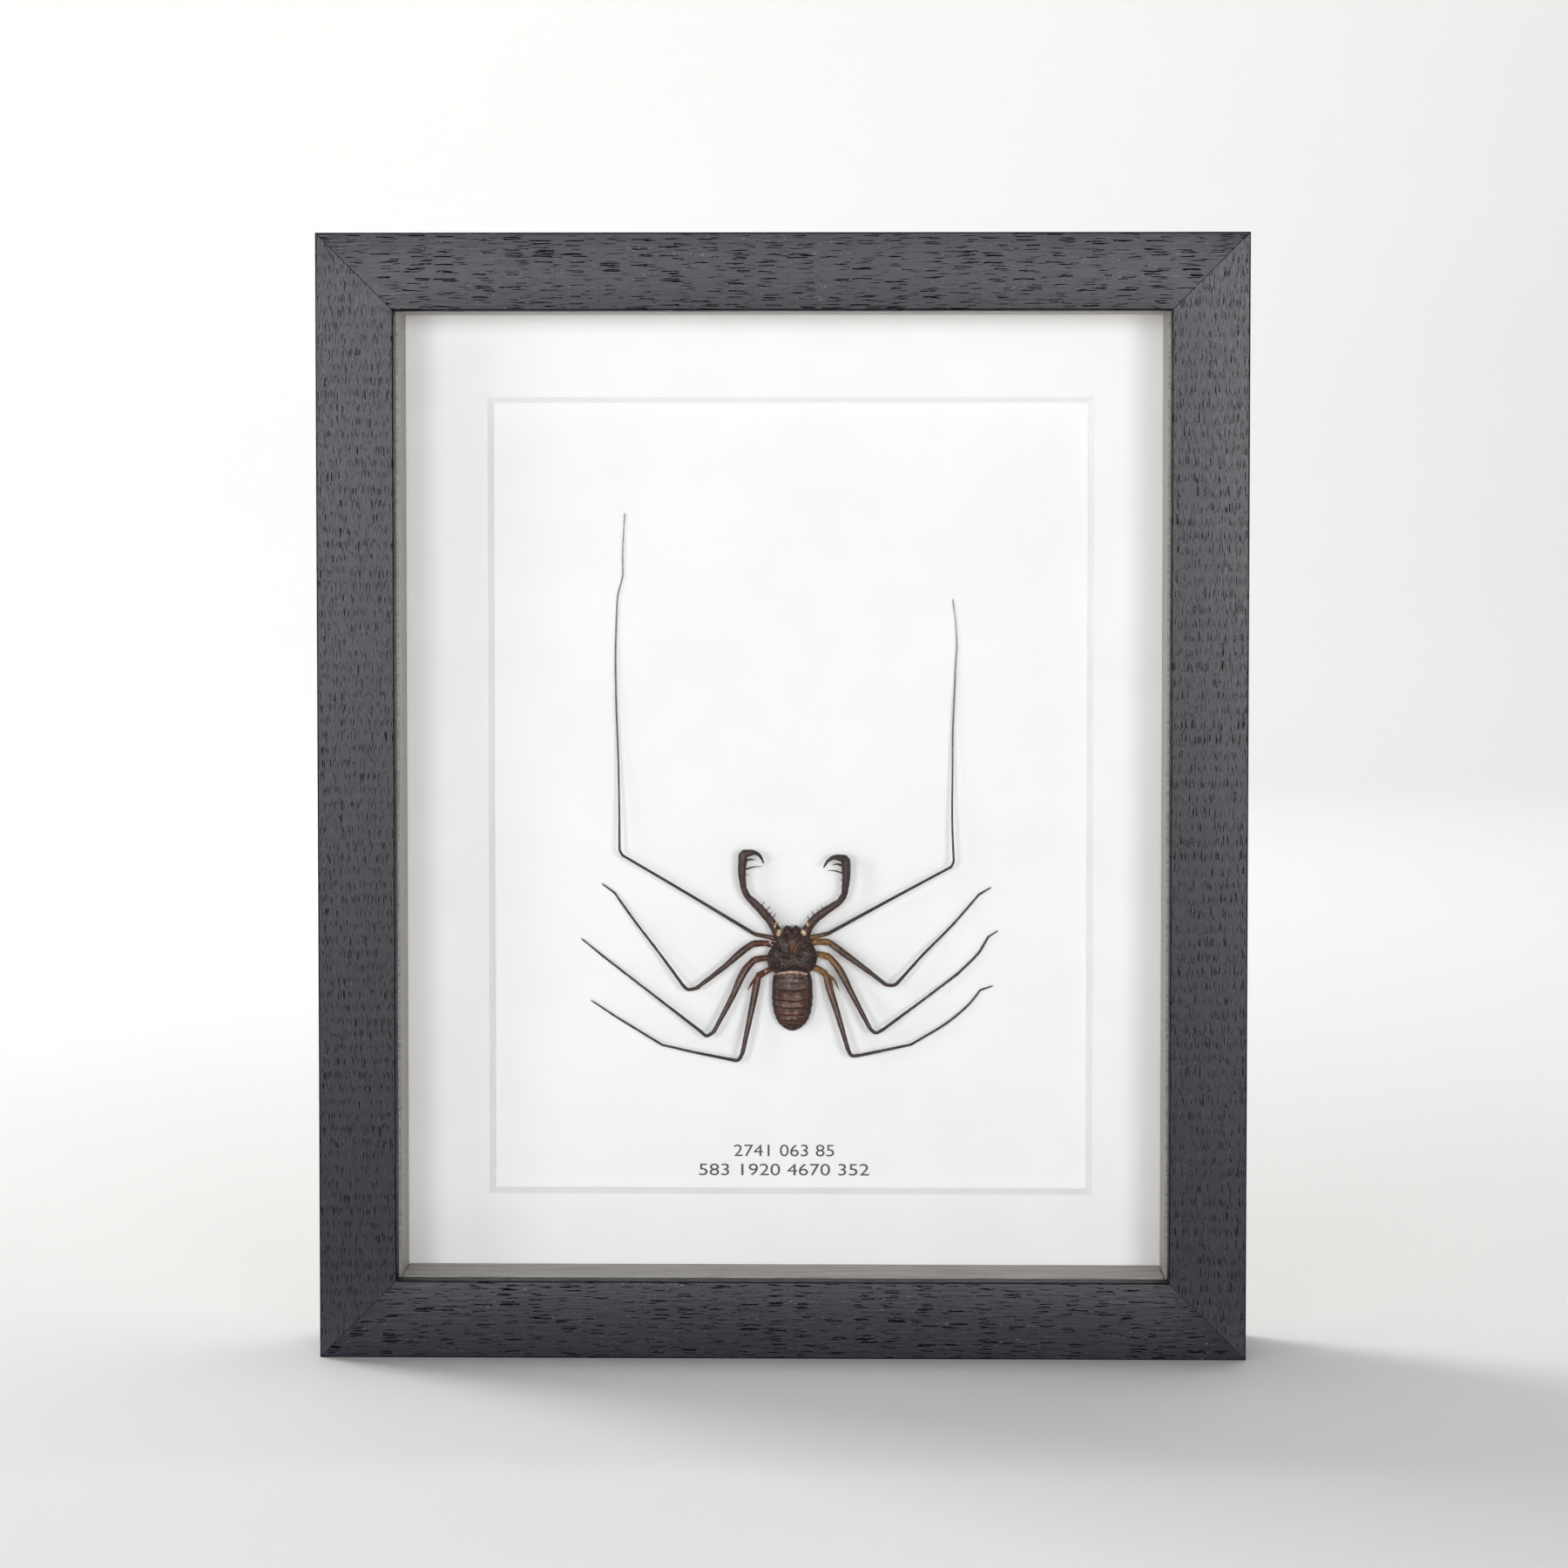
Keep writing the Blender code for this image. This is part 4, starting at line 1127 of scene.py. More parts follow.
def shield_relief(across, up):
    """How far lobes lift and furrows sink the shield at one place, and the furrow's share."""
    lift = 0.22 * unevenness(across, up, 1.6) + 0.14 * unevenness(across + 5, up, 0.8)
    for lobe_across, lobe_up, reach, rise in SHIELD_LOBES:
        away = math.hypot(across - lobe_across, up - lobe_up)
        lift += rise * math.exp(-((away / reach) ** 2))
    furrow = 0.0
    for start, end in SHIELD_FURROWS:
        furrow = max(furrow, math.exp(-((to_segment((across, up), start, end) / FURROW_HALF) ** 2)))
    return lift - FURROW_SINK * furrow, furrow


# %% Skin a stack of rings
def closed_outline(points, count):
    """A closed smooth curve through the points, read at even steps."""
    result = []
    for step in range(count):
        place = step * len(points) / count
        i = int(place)
        t = place - i
        a, b, c, d = (Vector(points[(i + k) % len(points)]) for k in (-1, 0, 1, 2))
        curve = 2 * b + (c - a) * t + (2 * a - 5 * b + 4 * c - d) * t ** 2
        result.append((curve + (3 * b - a - 3 * c + d) * t ** 3) / 2)
    return result


def ring_piece(name, rings, finish):
    """Skins rings of (place, notes), closes both ends with a fan, and keeps the notes."""
    def middle(ring):
        place = sum((place for place, _ in ring), Vector()) / len(ring)
        return (place, ring[0][1])

    points = [point for ring in rings for point in ring] + [middle(rings[0]), middle(rings[-1])]
    count = len(rings[0])
    faces = []
    for r in range(len(rings) - 1):
        for i in range(count):
            j = (i + 1) % count
            faces.append((r * count + i, r * count + j, (r + 1) * count + j, (r + 1) * count + i))
    top = (len(rings) - 1) * count
    for i in range(count):
        j = (i + 1) % count
        faces.append((len(points) - 2, j, i))
        faces.append((top + i, top + j, len(points) - 1))
    mesh = bpy.data.meshes.new(name)
    mesh.from_pydata([place for place, _ in points], [], faces)
    for key in points[0][1]:
        layer = mesh.attributes.new(key, "FLOAT", "POINT")
        layer.data.foreach_set("value", [note[key] for _, note in points])
    bm = bmesh.new()
    bm.from_mesh(mesh)
    bmesh.ops.recalc_face_normals(bm, faces=bm.faces)
    bm.to_mesh(mesh)
    bm.free()
    mesh.shade_smooth()
    mesh.materials.append(finish)
    return put(name, mesh)


# %% Shield finish
def stain(tree, colour, note, share, tint):
    """Lays a tint over a colour where the points carry a note, by that share of it."""
    return blend(tree, calc(tree, "MULTIPLY", attribute(tree, note), share), colour, tint)


def shield_chitin():
    finish, tree, shader = new_finish("shield_chitin")
    place = object_place(tree)
    cloud = grain(tree, place, 1.5 * MM, 3.0, 0.65)
    speck = grain(tree, place, 0.35 * MM, 3.0, 0.65)
    colour = blend(tree, step_up(tree, cloud, 0.42, 0.62), tone(22, 14, 12), tone(70, 48, 38))
    patchy = step_up(tree, cloud, 0.3, 0.6, 0.35, 0.95)
    colour = stain(tree, colour, "patch", patchy, tone(122, 86, 52))
    colour = blend(tree, step_up(tree, speck, 0.56, 0.74, 0.0, 0.35), colour, tone(124, 90, 68))
    colour = stain(tree, colour, "furrow", 0.8, tone(14, 10, 10))
    colour = stain(tree, colour, "rim", 0.6, tone(104, 88, 80))
    cover(
        tree, shader, colour, step_up(tree, speck, 0.3, 0.7, 0.2, 0.42),
        Specular_IOR_Level=0.18, Coat_Weight=0.45, Coat_Roughness=0.07,
    )
    height = calc(tree, "MULTIPLY_ADD", cloud, 1.2, speck)
    bump(tree, shader, height, 0.3 * MM, 0.8)
    return finish


# %% The shield itself
SHIELD_AROUND = 132
SHIELD_TILTS = [-72, -58, -44, -30, -18, -8, -3] + [0.5 + 2.05 * i for i in range(43)]


def shield_rings():
    outline = closed_outline(SHIELD_OUTLINE, SHIELD_AROUND)
    middle = sum(outline, Vector((0, 0))) / len(outline)
    rings = []
    for tilt in SHIELD_TILTS:
        size = math.cos(math.radians(tilt))
        part = math.sin(math.radians(tilt))
        rim = math.exp(-(((tilt - 4) / 5) ** 2))
        ring = []
        for point in outline:
            across, up = middle + (point - middle) * (size + 0.012 * rim)
            relief, furrow = shield_relief(across, up)
            lift = part * SHIELD_DROP
            if part > 0:
                lift = part * (SHIELD_RISE + relief) + 0.1 * rim
            pale = rim if up < 1.5 else 0.3 * rim
            patch = math.exp(-(((across - 0.85) / 0.9) ** 2) - ((up - 2.9) / 2.0) ** 2)
            notes = {"rim": pale, "patch": patch, "furrow": furrow if part > 0.1 else 0.0}
            ring.append((on_card(across, up, SHIELD_HEIGHT + lift), notes))
        rings.append(ring)
    return rings


head_shield = ring_piece("head_shield", shield_rings(), shield_chitin())
wear(head_shield, "chitin", "whip_spider")

# %% [markdown]
# ## The abdomen
#
# The abdomen is a long soft sac under a row of plates. Each plate laps over the next, and
# the line between two dips towards the tail in the middle. Pairs of small pits show
# where muscles hold the plates from inside, and a fold on each side parts the plates
# from the softer flank. Again the shape is a stack of rings, from rows of width and
# thickness, and every fold and pit is a small change of height that is noted down too.

# %% Rows, furrows and pits of the abdomen
ABDOMEN_ROWS = (
    (-2.0, 2.4, 1.0), (-3.2, 4.6, 2.0), (-5.0, 5.2, 2.4), (-8.0, 5.35, 2.6),
    (-11.5, 5.25, 2.5), (-14.5, 4.6, 2.2), (-16.6, 3.5, 1.7), (-17.9, 2.2, 1.2),
    (-18.6, 0.8, 0.5),
)
ABDOMEN_ACROSS = 0.5
ABDOMEN_HEIGHT = 3.0
ABDOMEN_STATIONS = 190
ABDOMEN_AROUND = 96
PLATE_LINES = (
    (-4.4, 0.2, 0.7), (-5.7, 0.5, 0.5), (-7.5, 0.9, 1.3), (-10.3, 0.9, 1.0), (-12.3, 0.8, 0.8),
    (-14.3, 0.5, 0.9), (-15.9, 0.3, 0.7), (-17.1, 0.2, 0.6),
)
PLATE_SINK = 0.17
PLATE_HALF = 0.24
STEP_OUT = 0.2
PITS = (
    (-1.6, -9.1, 0.62), (1.6, -9.0, 0.62), (-1.35, -10.9, 0.5), (1.3, -10.9, 0.5),
    (-2.0, -11.6, 0.4), (1.9, -11.6, 0.4), (-1.2, -13.4, 0.5), (1.1, -13.4, 0.5),
    (-0.7, -15.2, 0.36), (0.8, -15.2, 0.36),
)
PIT_SINK = 0.12
FLANK_FROM = 0.74


def abdomen_notes(across, up, beside, above):
    """Height change in millimetres at one place, and what to note for the finish."""
    seen = min(max((above - 0.05) / 0.25, 0.0), 1.0)
    line = 0.0
    lap = 0.0
    wander = 0.16 * unevenness(across, 0.3 * up, 1.3)
    for at, dip, depth in PLATE_LINES:
        away = up - (at - dip * (0.5 - beside ** 2)) + wander
        line = max(line, depth * math.exp(-((away / PLATE_HALF) ** 2)))
        if 0 < away < 1.1:
            lap = max(lap, depth * (1 - away / 1.1) * min(away / 0.3, 1.0))
    pit = 0.0
    for pit_across, pit_up, reach in PITS:
        away = math.hypot(across - ABDOMEN_ACROSS - pit_across, up - pit_up)
        pit = max(pit, math.exp(-((away / reach) ** 2)))
    fold = math.exp(-(((abs(beside) - FLANK_FROM) / 0.05) ** 2))
    flank = 1.0 if abs(beside) > FLANK_FROM else 0.0
    pleats = flank * math.sin(up * math.tau / 0.75) * 0.035
    change = -PLATE_SINK * line * (1 - flank) + 0.1 * lap - PIT_SINK * pit - 0.12 * fold + pleats
    change += 0.13 * unevenness(across, up, 1.2)
    fore = min(max((up + 7.6) / 0.8, 0.0), 1.0)
    notes = {
        "line": min(line, 1.0) * seen, "lap": lap * seen * (1 - flank), "pit": pit * seen,
        "flank": flank * seen, "fold": fold * seen, "fore": fore,
    }
    return change * seen, notes


def abdomen_rings():
    curve = smooth_rows(ABDOMEN_ROWS)
    places = np.concatenate((np.linspace(0, 0.9, ABDOMEN_STATIONS - 40), np.linspace(0.905, 1, 40)))
    ups = curve[0, 0] + (curve[-1, 0] - curve[0, 0]) * places
    widths = np.interp(-ups, -curve[:, 0], curve[:, 1])
    halves = np.interp(-ups, -curve[:, 0], curve[:, 2])
    rings = []
    for up, half_width, half_thick in zip(ups, widths, halves):
        for at, _, _ in PLATE_LINES[3:]:
            if 0 < up - at < 1.4:
                half_width += STEP_OUT * (1 - (up - at) / 1.4) * min((up - at) / 0.2, 1.0)
        ring = []
        for i in range(ABDOMEN_AROUND):
            angle = math.tau * i / ABDOMEN_AROUND
            beside, above = math.cos(angle), math.sin(angle)
            across = ABDOMEN_ACROSS + half_width * beside
            change, notes = abdomen_notes(across, up, beside, above)
            height = ABDOMEN_HEIGHT + half_thick * above + change
            ring.append((on_card(across, up, height), notes))
        rings.append(ring)
    return rings


# %% Abdomen finish
def abdomen_chitin():
    finish, tree, shader = new_finish("abdomen_chitin")
    place = object_place(tree)
    cloud = grain(tree, place, 1.8 * MM, 3.0, 0.6)
    speck = grain(tree, place, 0.3 * MM, 3.0, 0.65)
    colour = blend(tree, step_up(tree, cloud, 0.36, 0.66), tone(48, 24, 19), tone(86, 50, 39))
    # Painted highlight: pale patches on the front section stand in for glints on its glossy bumps.
    painted_glint_noise = grain(tree, vector_calc(tree, "ADD", place, (3.0, 1.0, 2.0)), 1.1 * MM, 3.0, 0.6)
    for note, share, tint in (
        ("fore", step_up(tree, cloud, 0.4, 0.6, 0.3, 0.9), tone(74, 62, 54)),
        # Painted highlight: pale glint patches on the front section.
        ("fore", step_up(tree, painted_glint_noise, 0.52, 0.66, 0.0, 0.5), tone(168, 154, 146)),
        ("lap", 0.5, tone(98, 66, 52)),
        ("pit", 0.75, tone(126, 94, 80)),
        ("line", 0.8, tone(16, 9, 8)),
        ("flank", 0.6, tone(26, 17, 16)),
        ("fold", 0.35, tone(96, 68, 60)),
    ):
        colour = stain(tree, colour, note, share, tint)
    colour = blend(tree, step_up(tree, speck, 0.6, 0.78, 0.0, 0.3), colour, tone(120, 94, 82))
    cover(
        tree, shader, colour, step_up(tree, speck, 0.3, 0.7, 0.3, 0.5),
        Specular_IOR_Level=0.18, Coat_Weight=0.25, Coat_Roughness=0.1,
    )
    height = calc(tree, "MULTIPLY_ADD", cloud, 0.8, speck)
    bump(tree, shader, height, 0.18 * MM, 0.7)
    return finish


abdomen = ring_piece("abdomen", abdomen_rings(), abdomen_chitin())
wear(abdomen, "chitin", "whip_spider")

# %% [markdown]
# ## Soft skin, eyes and glue
#
# Between the hard pieces lies soft skin, which dries to a pale cream. It shows where the
# pedipalps and the legs leave the body and in a crescent behind the shield. Eyes, skin
# and the drops of glue that hold the specimen to the card are all small rounded bodies,
# so one tree makes them: it sets a ball on each point, scaled and aimed by the notes on
# that point.

# %% The tree that sets beads
def bead_tree():
    tree, given = new_tree("beads", {"Detail": "int"})
    ball_inputs = {"Radius": 1.0, "Subdivisions": given["Detail"]}
    ball = add(tree, "GeometryNodeMeshIcoSphere", ball_inputs).outputs["Mesh"]
    aim = noted(tree, "heading", "FLOAT_VECTOR")
    turn = add(tree, "FunctionNodeAlignRotationToVector", {"Vector": aim}, axis="Z")
    placing = {
        "Points": given["Geometry"],
        "Instance": ball,
        "Rotation": turn.outputs[0],
        "Scale": noted(tree, "size", "FLOAT_VECTOR"),
    }
    beads = add(tree, "GeometryNodeInstanceOnPoints", placing).outputs[0]
    return end_tree(tree, given, beads)


beads = bead_tree()
OFF_CARD = Vector((0, -1, 0))


def bead_piece(name, rows, finish, slot, detail=3, nodes=(), uneven=()):
    """Beads from (place, heading, half thickness, half length) rows, sizes in millimetres."""
    chain = [
        (place, {"heading": heading.normalized(), "size": Vector((half, half, half_long)) * MM})
        for place, heading, half, half_long in rows
    ]
    points = wire_mesh(name, [[point] for point in chain])
    piece = grow(name, points, beads, Detail=detail, Finish=finish)
    if uneven:
        roughen(piece, *uneven)
    piece.data.shade_smooth()
    wear(piece, slot, *nodes)
    return piece


# %% Cream skin
def soft_skin(name, pale, shade):
    finish, tree, shader = new_finish(name)
    place = object_place(tree)
    fold = grain(tree, place, 0.5 * MM, 3.0, 0.6)
    stain = grain(tree, place, 1.1 * MM, 2.0)
    colour = blend(tree, step_up(tree, fold, 0.3, 0.7), pale, shade)
    colour = blend(tree, step_up(tree, stain, 0.5, 0.66, 0.0, 0.7), colour, tone(110, 80, 58))
    cover(tree, shader, colour, step_up(tree, fold, 0.3, 0.7, 0.4, 0.6))
    bump(tree, shader, fold, 0.06 * MM, 0.6)
    return finish


skin = soft_skin("cream_skin", tone(232, 208, 166), tone(160, 124, 92))
dull_skin = soft_skin("dull_skin", tone(196, 172, 156), tone(142, 120, 104))
SKIN_SPOTS = (
    (-3.1, 7.5, 4.6, (0.35, 1.0), 0.66, 0.95), (-3.95, 9.5, 4.95, (0.45, 1.0), 0.28, 0.85),
    (3.6, 7.5, 4.6, (-0.35, 1.0), 0.66, 0.9), (4.55, 9.6, 4.95, (-0.35, 1.0), 0.28, 0.9),
    (-6.6, 4.1, 3.85, (0.6, 1.0), 0.16, 0.3), (-5.3, 4.9, 3.8, (0.2, 1.0), 0.18, 0.34),
    (6.6, 5.0, 3.85, (-0.2, 1.0), 0.18, 0.36), (7.5, 4.6, 3.95, (-0.8, 0.6), 0.15, 0.3),
    (-7.7, -3.6, 4.1, (0.7, 1.0), 0.22, 0.5), (-6.6, -2.8, 3.9, (0.8, 0.6), 0.2, 0.36),
    (8.5, -2.7, 4.2, (-0.6, 1.0), 0.2, 0.4), (-7.0, 0.6, 3.8, (0.9, 0.3), 0.18, 0.34),
    (7.9, 0.9, 3.9, (-0.9, 0.3), 0.18, 0.34), (-9.0, 1.1, 4.2, (0.8, 0.5), 0.14, 0.3),
)
skin_rows = []
for across, up, height, (lean_across, lean_up), half, half_long in SKIN_SPOTS:
    lean = Vector((lean_across, 0.0, lean_up))
    skin_rows.append((on_card(across, up, height), lean, half, half_long))
bead_piece("joint_skins", skin_rows, skin, "chitin", 4, ("whip_spider",), (0.5, 0.2))

# %% The pale crescent behind the shield
CRESCENT = (
    (-4.2, -3.6, 4.2, 0.16), (-2.4, -3.2, 4.7, 0.26), (0.6, -2.9, 5.0, 0.42),
    (3.1, -3.2, 4.7, 0.3), (4.6, -3.5, 4.3, 0.16),
)
crescent_chain = limb_chains((CRESCENT, (0, 4)), 0.15, 0.0)
swept_piece("waist_skin", crescent_chain, 14, dull_skin, (0.5, 0.14))

# %% [markdown]
# A whip spider has a pair of eyes on a knob at the front of the shield and a group of
# three on each side. They are set on the real surface: a ray is dropped on the shield
# from above, and the eye is put where it lands.

# %% Eyes
def on_surface(piece, across, up):
    """Where a ray dropped on a piece towards the card lands."""
    start = on_card(across, up, 20)
    found, place, _, _ = piece.ray_cast(start, -OFF_CARD)
    return place if found else on_card(across, up, SHIELD_HEIGHT)


def eye_shine():
    finish, tree, shader = new_finish("eye_shine")
    depth = grain(tree, object_place(tree), 0.2 * MM, 1.0)
    cover(
        tree, shader, blend(tree, depth, tone(18, 14, 14), tone(44, 34, 32)),
        step_up(tree, depth, 0.3, 0.7, 0.05, 0.12), Coat_Weight=0.6, Coat_Roughness=0.04,
    )
    return finish


EYES = (
    (0.2, 6.5, 0.24), (0.9, 6.5, 0.24),
    (-2.9, 5.7, 0.17), (-3.2, 5.2, 0.17), (-2.7, 5.3, 0.16),
    (4.2, 6.0, 0.17), (4.5, 5.5, 0.17), (4.0, 5.5, 0.16),
)
eye_rows = [
    (on_surface(head_shield, across, up), OFF_CARD, half, half) for across, up, half in EYES
]
bead_piece("eyes", eye_rows, eye_shine(), "chitin", 3, ("whip_spider",))

# %% [markdown]
# ## Spines, claws and hairs
#
# The pedipalps catch prey with spines, two spurs stand at the root of each hind leg, and
# each foot ends in two tiny hooks. All are short limbs that run to a point, so the limb
# tree sweeps them too. Hairs are far too many to place by hand: a tree scatters points on
# the legs by area, leans each one towards the tip of the leg, and sets a three-sided
# needle there with a random length from a fixed seed.

# %% Spines and claws
SPINES = (
    ((-12.0, 26.4, 5.5), (-10.4, 26.9, 5.6), (-9.2, 26.7, 5.3), 0.4),
    ((-12.0, 24.2, 5.5), (-9.6, 24.9, 5.5), (-7.4, 25.0, 5.0), 0.26),
    ((-11.8, 22.6, 5.5), (-11.2, 22.9, 5.7), (-10.9, 23.1, 5.6), 0.12),
    ((-7.6, 14.6, 4.9), (-7.1, 15.2, 5.2), (-6.9, 15.8, 5.2), 0.15),
    ((-6.4, 13.3, 4.8), (-5.7, 14.0, 5.1), (-5.3, 14.6, 5.1), 0.19),
    ((-5.6, 12.2, 4.6), (-5.0, 12.8, 5.0), (-4.8, 13.2, 5.0), 0.14),
    ((-4.8, 11.3, 4.5), (-4.1, 12.1, 4.8), (-3.8, 12.9, 4.9), 0.2),
    ((14.1, 25.0, 5.5), (12.4, 25.7, 5.6), (11.1, 25.4, 5.3), 0.4),
    ((14.1, 23.2, 5.5), (11.8, 23.9, 5.5), (9.7, 24.0, 5.0), 0.26),
    ((13.8, 21.2, 5.5), (13.2, 21.6, 5.7), (12.9, 21.8, 5.6), 0.12),
    ((8.8, 13.6, 4.9), (8.3, 14.2, 5.2), (8.1, 14.8, 5.2), 0.15),
    ((7.7, 12.8, 4.8), (7.2, 13.4, 5.1), (7.0, 13.8, 5.1), 0.12),
    ((6.4, 12.0, 4.8), (5.8, 12.8, 5.1), (5.5, 13.4, 5.1), 0.19),
    ((5.2, 10.9, 4.5), (4.6, 11.6, 4.8), (4.4, 12.1, 4.9), 0.18),
)
LEG_SPURS = (
    ((-8.5, -4.0, 3.7), (-10.1, -5.9, 3.5), (-11.3, -8.0, 3.0), 0.5),
    ((-7.9, -3.6, 3.5), (-9.2, -5.6, 3.3), (-9.9, -7.6, 2.9), 0.36),
    ((9.3, -3.4, 3.7), (11.5, -5.2, 3.5), (13.0, -8.1, 3.0), 0.52),
    ((8.9, -3.1, 3.5), (10.4, -5.0, 3.3), (11.4, -7.0, 2.9), 0.36),
)
CLAW_LENGTH = 0.6
CLAW_SPREAD = 0.16


def claw_rows(rows):
    """Two hooks that carry on from a leg's tip, spread apart and bent to the card."""
    tip, before = Vector(rows[-1][:3]), Vector(rows[-2][:3])
    run = (tip - before).normalized()
    beside = Vector((-run.y, run.x, 0.0))
    hooks = []
    for hand in (-1, 1):
        hook = []
        for part, radius in ((-0.2, 0.1), (0.25, 0.08), (0.65, 0.06), (1.0, 0.03)):
            spread = beside * hand * CLAW_SPREAD * math.sin(part * 1.9)
            sink = Vector((0, 0, -0.28 * max(part, 0) ** 2))
            hook.append((*(tip + run * part * CLAW_LENGTH + spread + sink), radius))
        hooks.append(hook)
    return hooks


def thorn_chains(thorns, middle_share, tip_radius):
    """The chains of thorns from (root, bend, tip, radius at the root)."""
    chains = []
    for root, bend, tip, radius in thorns:
        rows = ((*root, radius), (*bend, middle_share * radius), (*tip, tip_radius))
        chains += limb_chains((rows, (0, 2)), 0.2, 0.0, float(root[0] > 0))
    return chains


spine_chains = thorn_chains(SPINES, 0.7, 0.05)
for limbs in LIMB_SETS.values():
    for limb_name in WALKING_LEGS:
        for rows in claw_rows(limbs[limb_name][0]):
            spine_chains += limb_chains((rows, (0, 3)), 0.15, 0.0)
swept_piece("spines_and_claws", spine_chains, 8, palp_chitin)
swept_piece("leg_spurs", thorn_chains(LEG_SPURS, 0.75, 0.06), 12, spur_chitin, (0.8, 0.1))


# %% The tree that grows hairs
def hair_tree():
    tree, given = new_tree("leg_hairs", {
        "Density": "float",
        "Shortest": "float",
        "Longest": "float",
        "Thickness": "float",
        "Seed": "int",
    })
    scatter = {"Mesh": given["Geometry"], "Density": given["Density"], "Seed": given["Seed"]}
    roots = add(tree, "GeometryNodeDistributePointsOnFaces", scatter)
    lean = vector_calc(tree, "SCALE", noted(tree, "heading", "FLOAT_VECTOR"))
    lean.node.inputs["Scale"].default_value = 0.9
    aim = vector_calc(tree, "ADD", roots.outputs["Normal"], lean)
    turn = add(tree, "FunctionNodeAlignRotationToVector", {"Vector": aim}, axis="Z").outputs[0]
    pick = {"Min": given["Shortest"], "Max": given["Longest"], "Seed": given["Seed"]}
    length = add(tree, "FunctionNodeRandomValue", pick, data_type="FLOAT")
    length = next(output for output in length.outputs if output.enabled)
    needle_inputs = {"Vertices": 3, "Radius Top": 0.0, "Radius Bottom": 1.0, "Depth": 1.0}
    needle = add(tree, "GeometryNodeMeshCone", needle_inputs, fill_type="NGON").outputs["Mesh"]
    size = vector_of(tree, given["Thickness"], given["Thickness"], length)
    placing = {
        "Points": roots.outputs["Points"],
        "Instance": needle,
        "Rotation": turn,
        "Scale": size,
    }
    hairs = add(tree, "GeometryNodeInstanceOnPoints", placing).outputs[0]
    return end_tree(tree, given, hairs)


leg_hairs = hair_tree()

# %% Hairs
def hair_finish():
    finish, tree, shader = new_finish("hair")
    tint = grain(tree, object_place(tree), 1.5 * MM, 1.0)
    colour = blend(tree, tint, tone(58, 46, 42), tone(108, 88, 76))
    cover(tree, shader, colour, step_up(tree, tint, 0.3, 0.7, 0.4, 0.6))
    return finish


hair = hair_finish()
PER_SQUARE_MM = 1e6
HAIRY = (
    ("leg_hairs", walking_legs, 1.6, 0.25, 0.6, 0.018, 3),
    ("palp_hairs", pedipalps, 2.2, 0.2, 0.5, 0.02, 5),
    ("whip_hairs", whips, 1.2, 0.2, 0.4, 0.014, 7),
)
for name, bearer, density, shortest, longest, thickness, seed in HAIRY:
    hairs = grow(
        name, bearer.data.copy(), leg_hairs,
        Density=density * PER_SQUARE_MM,
        Shortest=shortest * MM,
        Longest=longest * MM,
        Thickness=thickness * MM,
        Seed=seed,
        Finish=hair,
    )
    wear(hairs, "chitin", "whip_spider")

# %% [markdown]
# A few drops of clear glue hold the feet and the belly to the card. From the front they
# hide under the animal, and from the side they show that nothing floats.

# %% Glue drops
def clear_glue():
    finish, tree, shader = new_finish("clear_glue")
    cloud = grain(tree, object_place(tree), 0.4 * MM, 2.0)
    colour = blend(tree, cloud, tone(244, 240, 226), tone(226, 216, 190))
    roughness = step_up(tree, cloud, 0.3, 0.7, 0.12, 0.25)
    cover(tree, shader, colour, roughness, Transmission_Weight=0.3)
    return finish


glue_rows = [
    (on_card(across, up, 0.2), OFF_CARD, half, tall)
    for across, up, half, tall in (
        (0.2, -9.5, 2.2, 0.6), (0.2, -13.5, 1.8, 0.6), (-1.5, 1.0, 2.0, 1.6), (2.0, 1.0, 2.0, 1.6),
    )
]
for limbs in LIMB_SETS.values():
    for limb_name in WALKING_LEGS:
        rows, _ = limbs[limb_name]
        across, up, height, _ = rows[-2]
        glue_rows.append((on_card(across, up, 0.1), OFF_CARD, 0.24, height))
    for row in limbs["whip_leg"][0][10::2]:
        glue_rows.append((on_card(row[0], row[1], 0.1), OFF_CARD, 0.14, row[2]))
bead_piece("glue_drops", glue_rows, clear_glue(), "white_card", 3)

# %% [markdown]
# ## The back
#
# From behind, the frame shows a sheet of brown fibreboard, held by flat steel points that
# are driven into the wood, and a toothed hanger on the top rail. These solids keep their
# shape and get their finishes: pressed brown fibres, and zinc with its cloudy crystals
# and fine scratches. Two nails hold the hanger, and each corner is pinned by bent steel
# strips. The nails are beads and the strips are wires swept with a flat section.

# %% Fibreboard and zinc
def fibreboard():
    finish, tree, shader = new_finish("fibreboard")
    place = object_place(tree)
    cloud = grain(tree, place, 30 * MM, 4.0, 0.6)
    fibre = grain(tree, stretched(tree, place, (3.5 * MM, 3.5 * MM, 0.4 * MM)), 1.0, 4.0, 0.7)
    crossing = grain(tree, stretched(tree, place, (0.4 * MM, 3.5 * MM, 3.5 * MM)), 1.0, 4.0, 0.7)
    chip = grain(tree, place, 0.9 * MM, 2.0)
    colour = blend(tree, step_up(tree, cloud, 0.3, 0.7), tone(142, 104, 70), tone(158, 120, 82))
    colour = blend(tree, step_up(tree, fibre, 0.5, 0.75, 0.0, 0.6), colour, tone(104, 72, 46))
    colour = blend(tree, step_up(tree, crossing, 0.55, 0.75, 0.0, 0.5), colour, tone(184, 148, 106))
    colour = blend(tree, step_up(tree, chip, 0.68, 0.76, 0.0, 0.7), colour, tone(70, 48, 32))
    cover(tree, shader, colour, step_up(tree, cloud, 0.3, 0.7, 0.55, 0.75))
    bump(tree, shader, calc(tree, "ADD", fibre, crossing), 0.08 * MM, 0.5)
    return finish


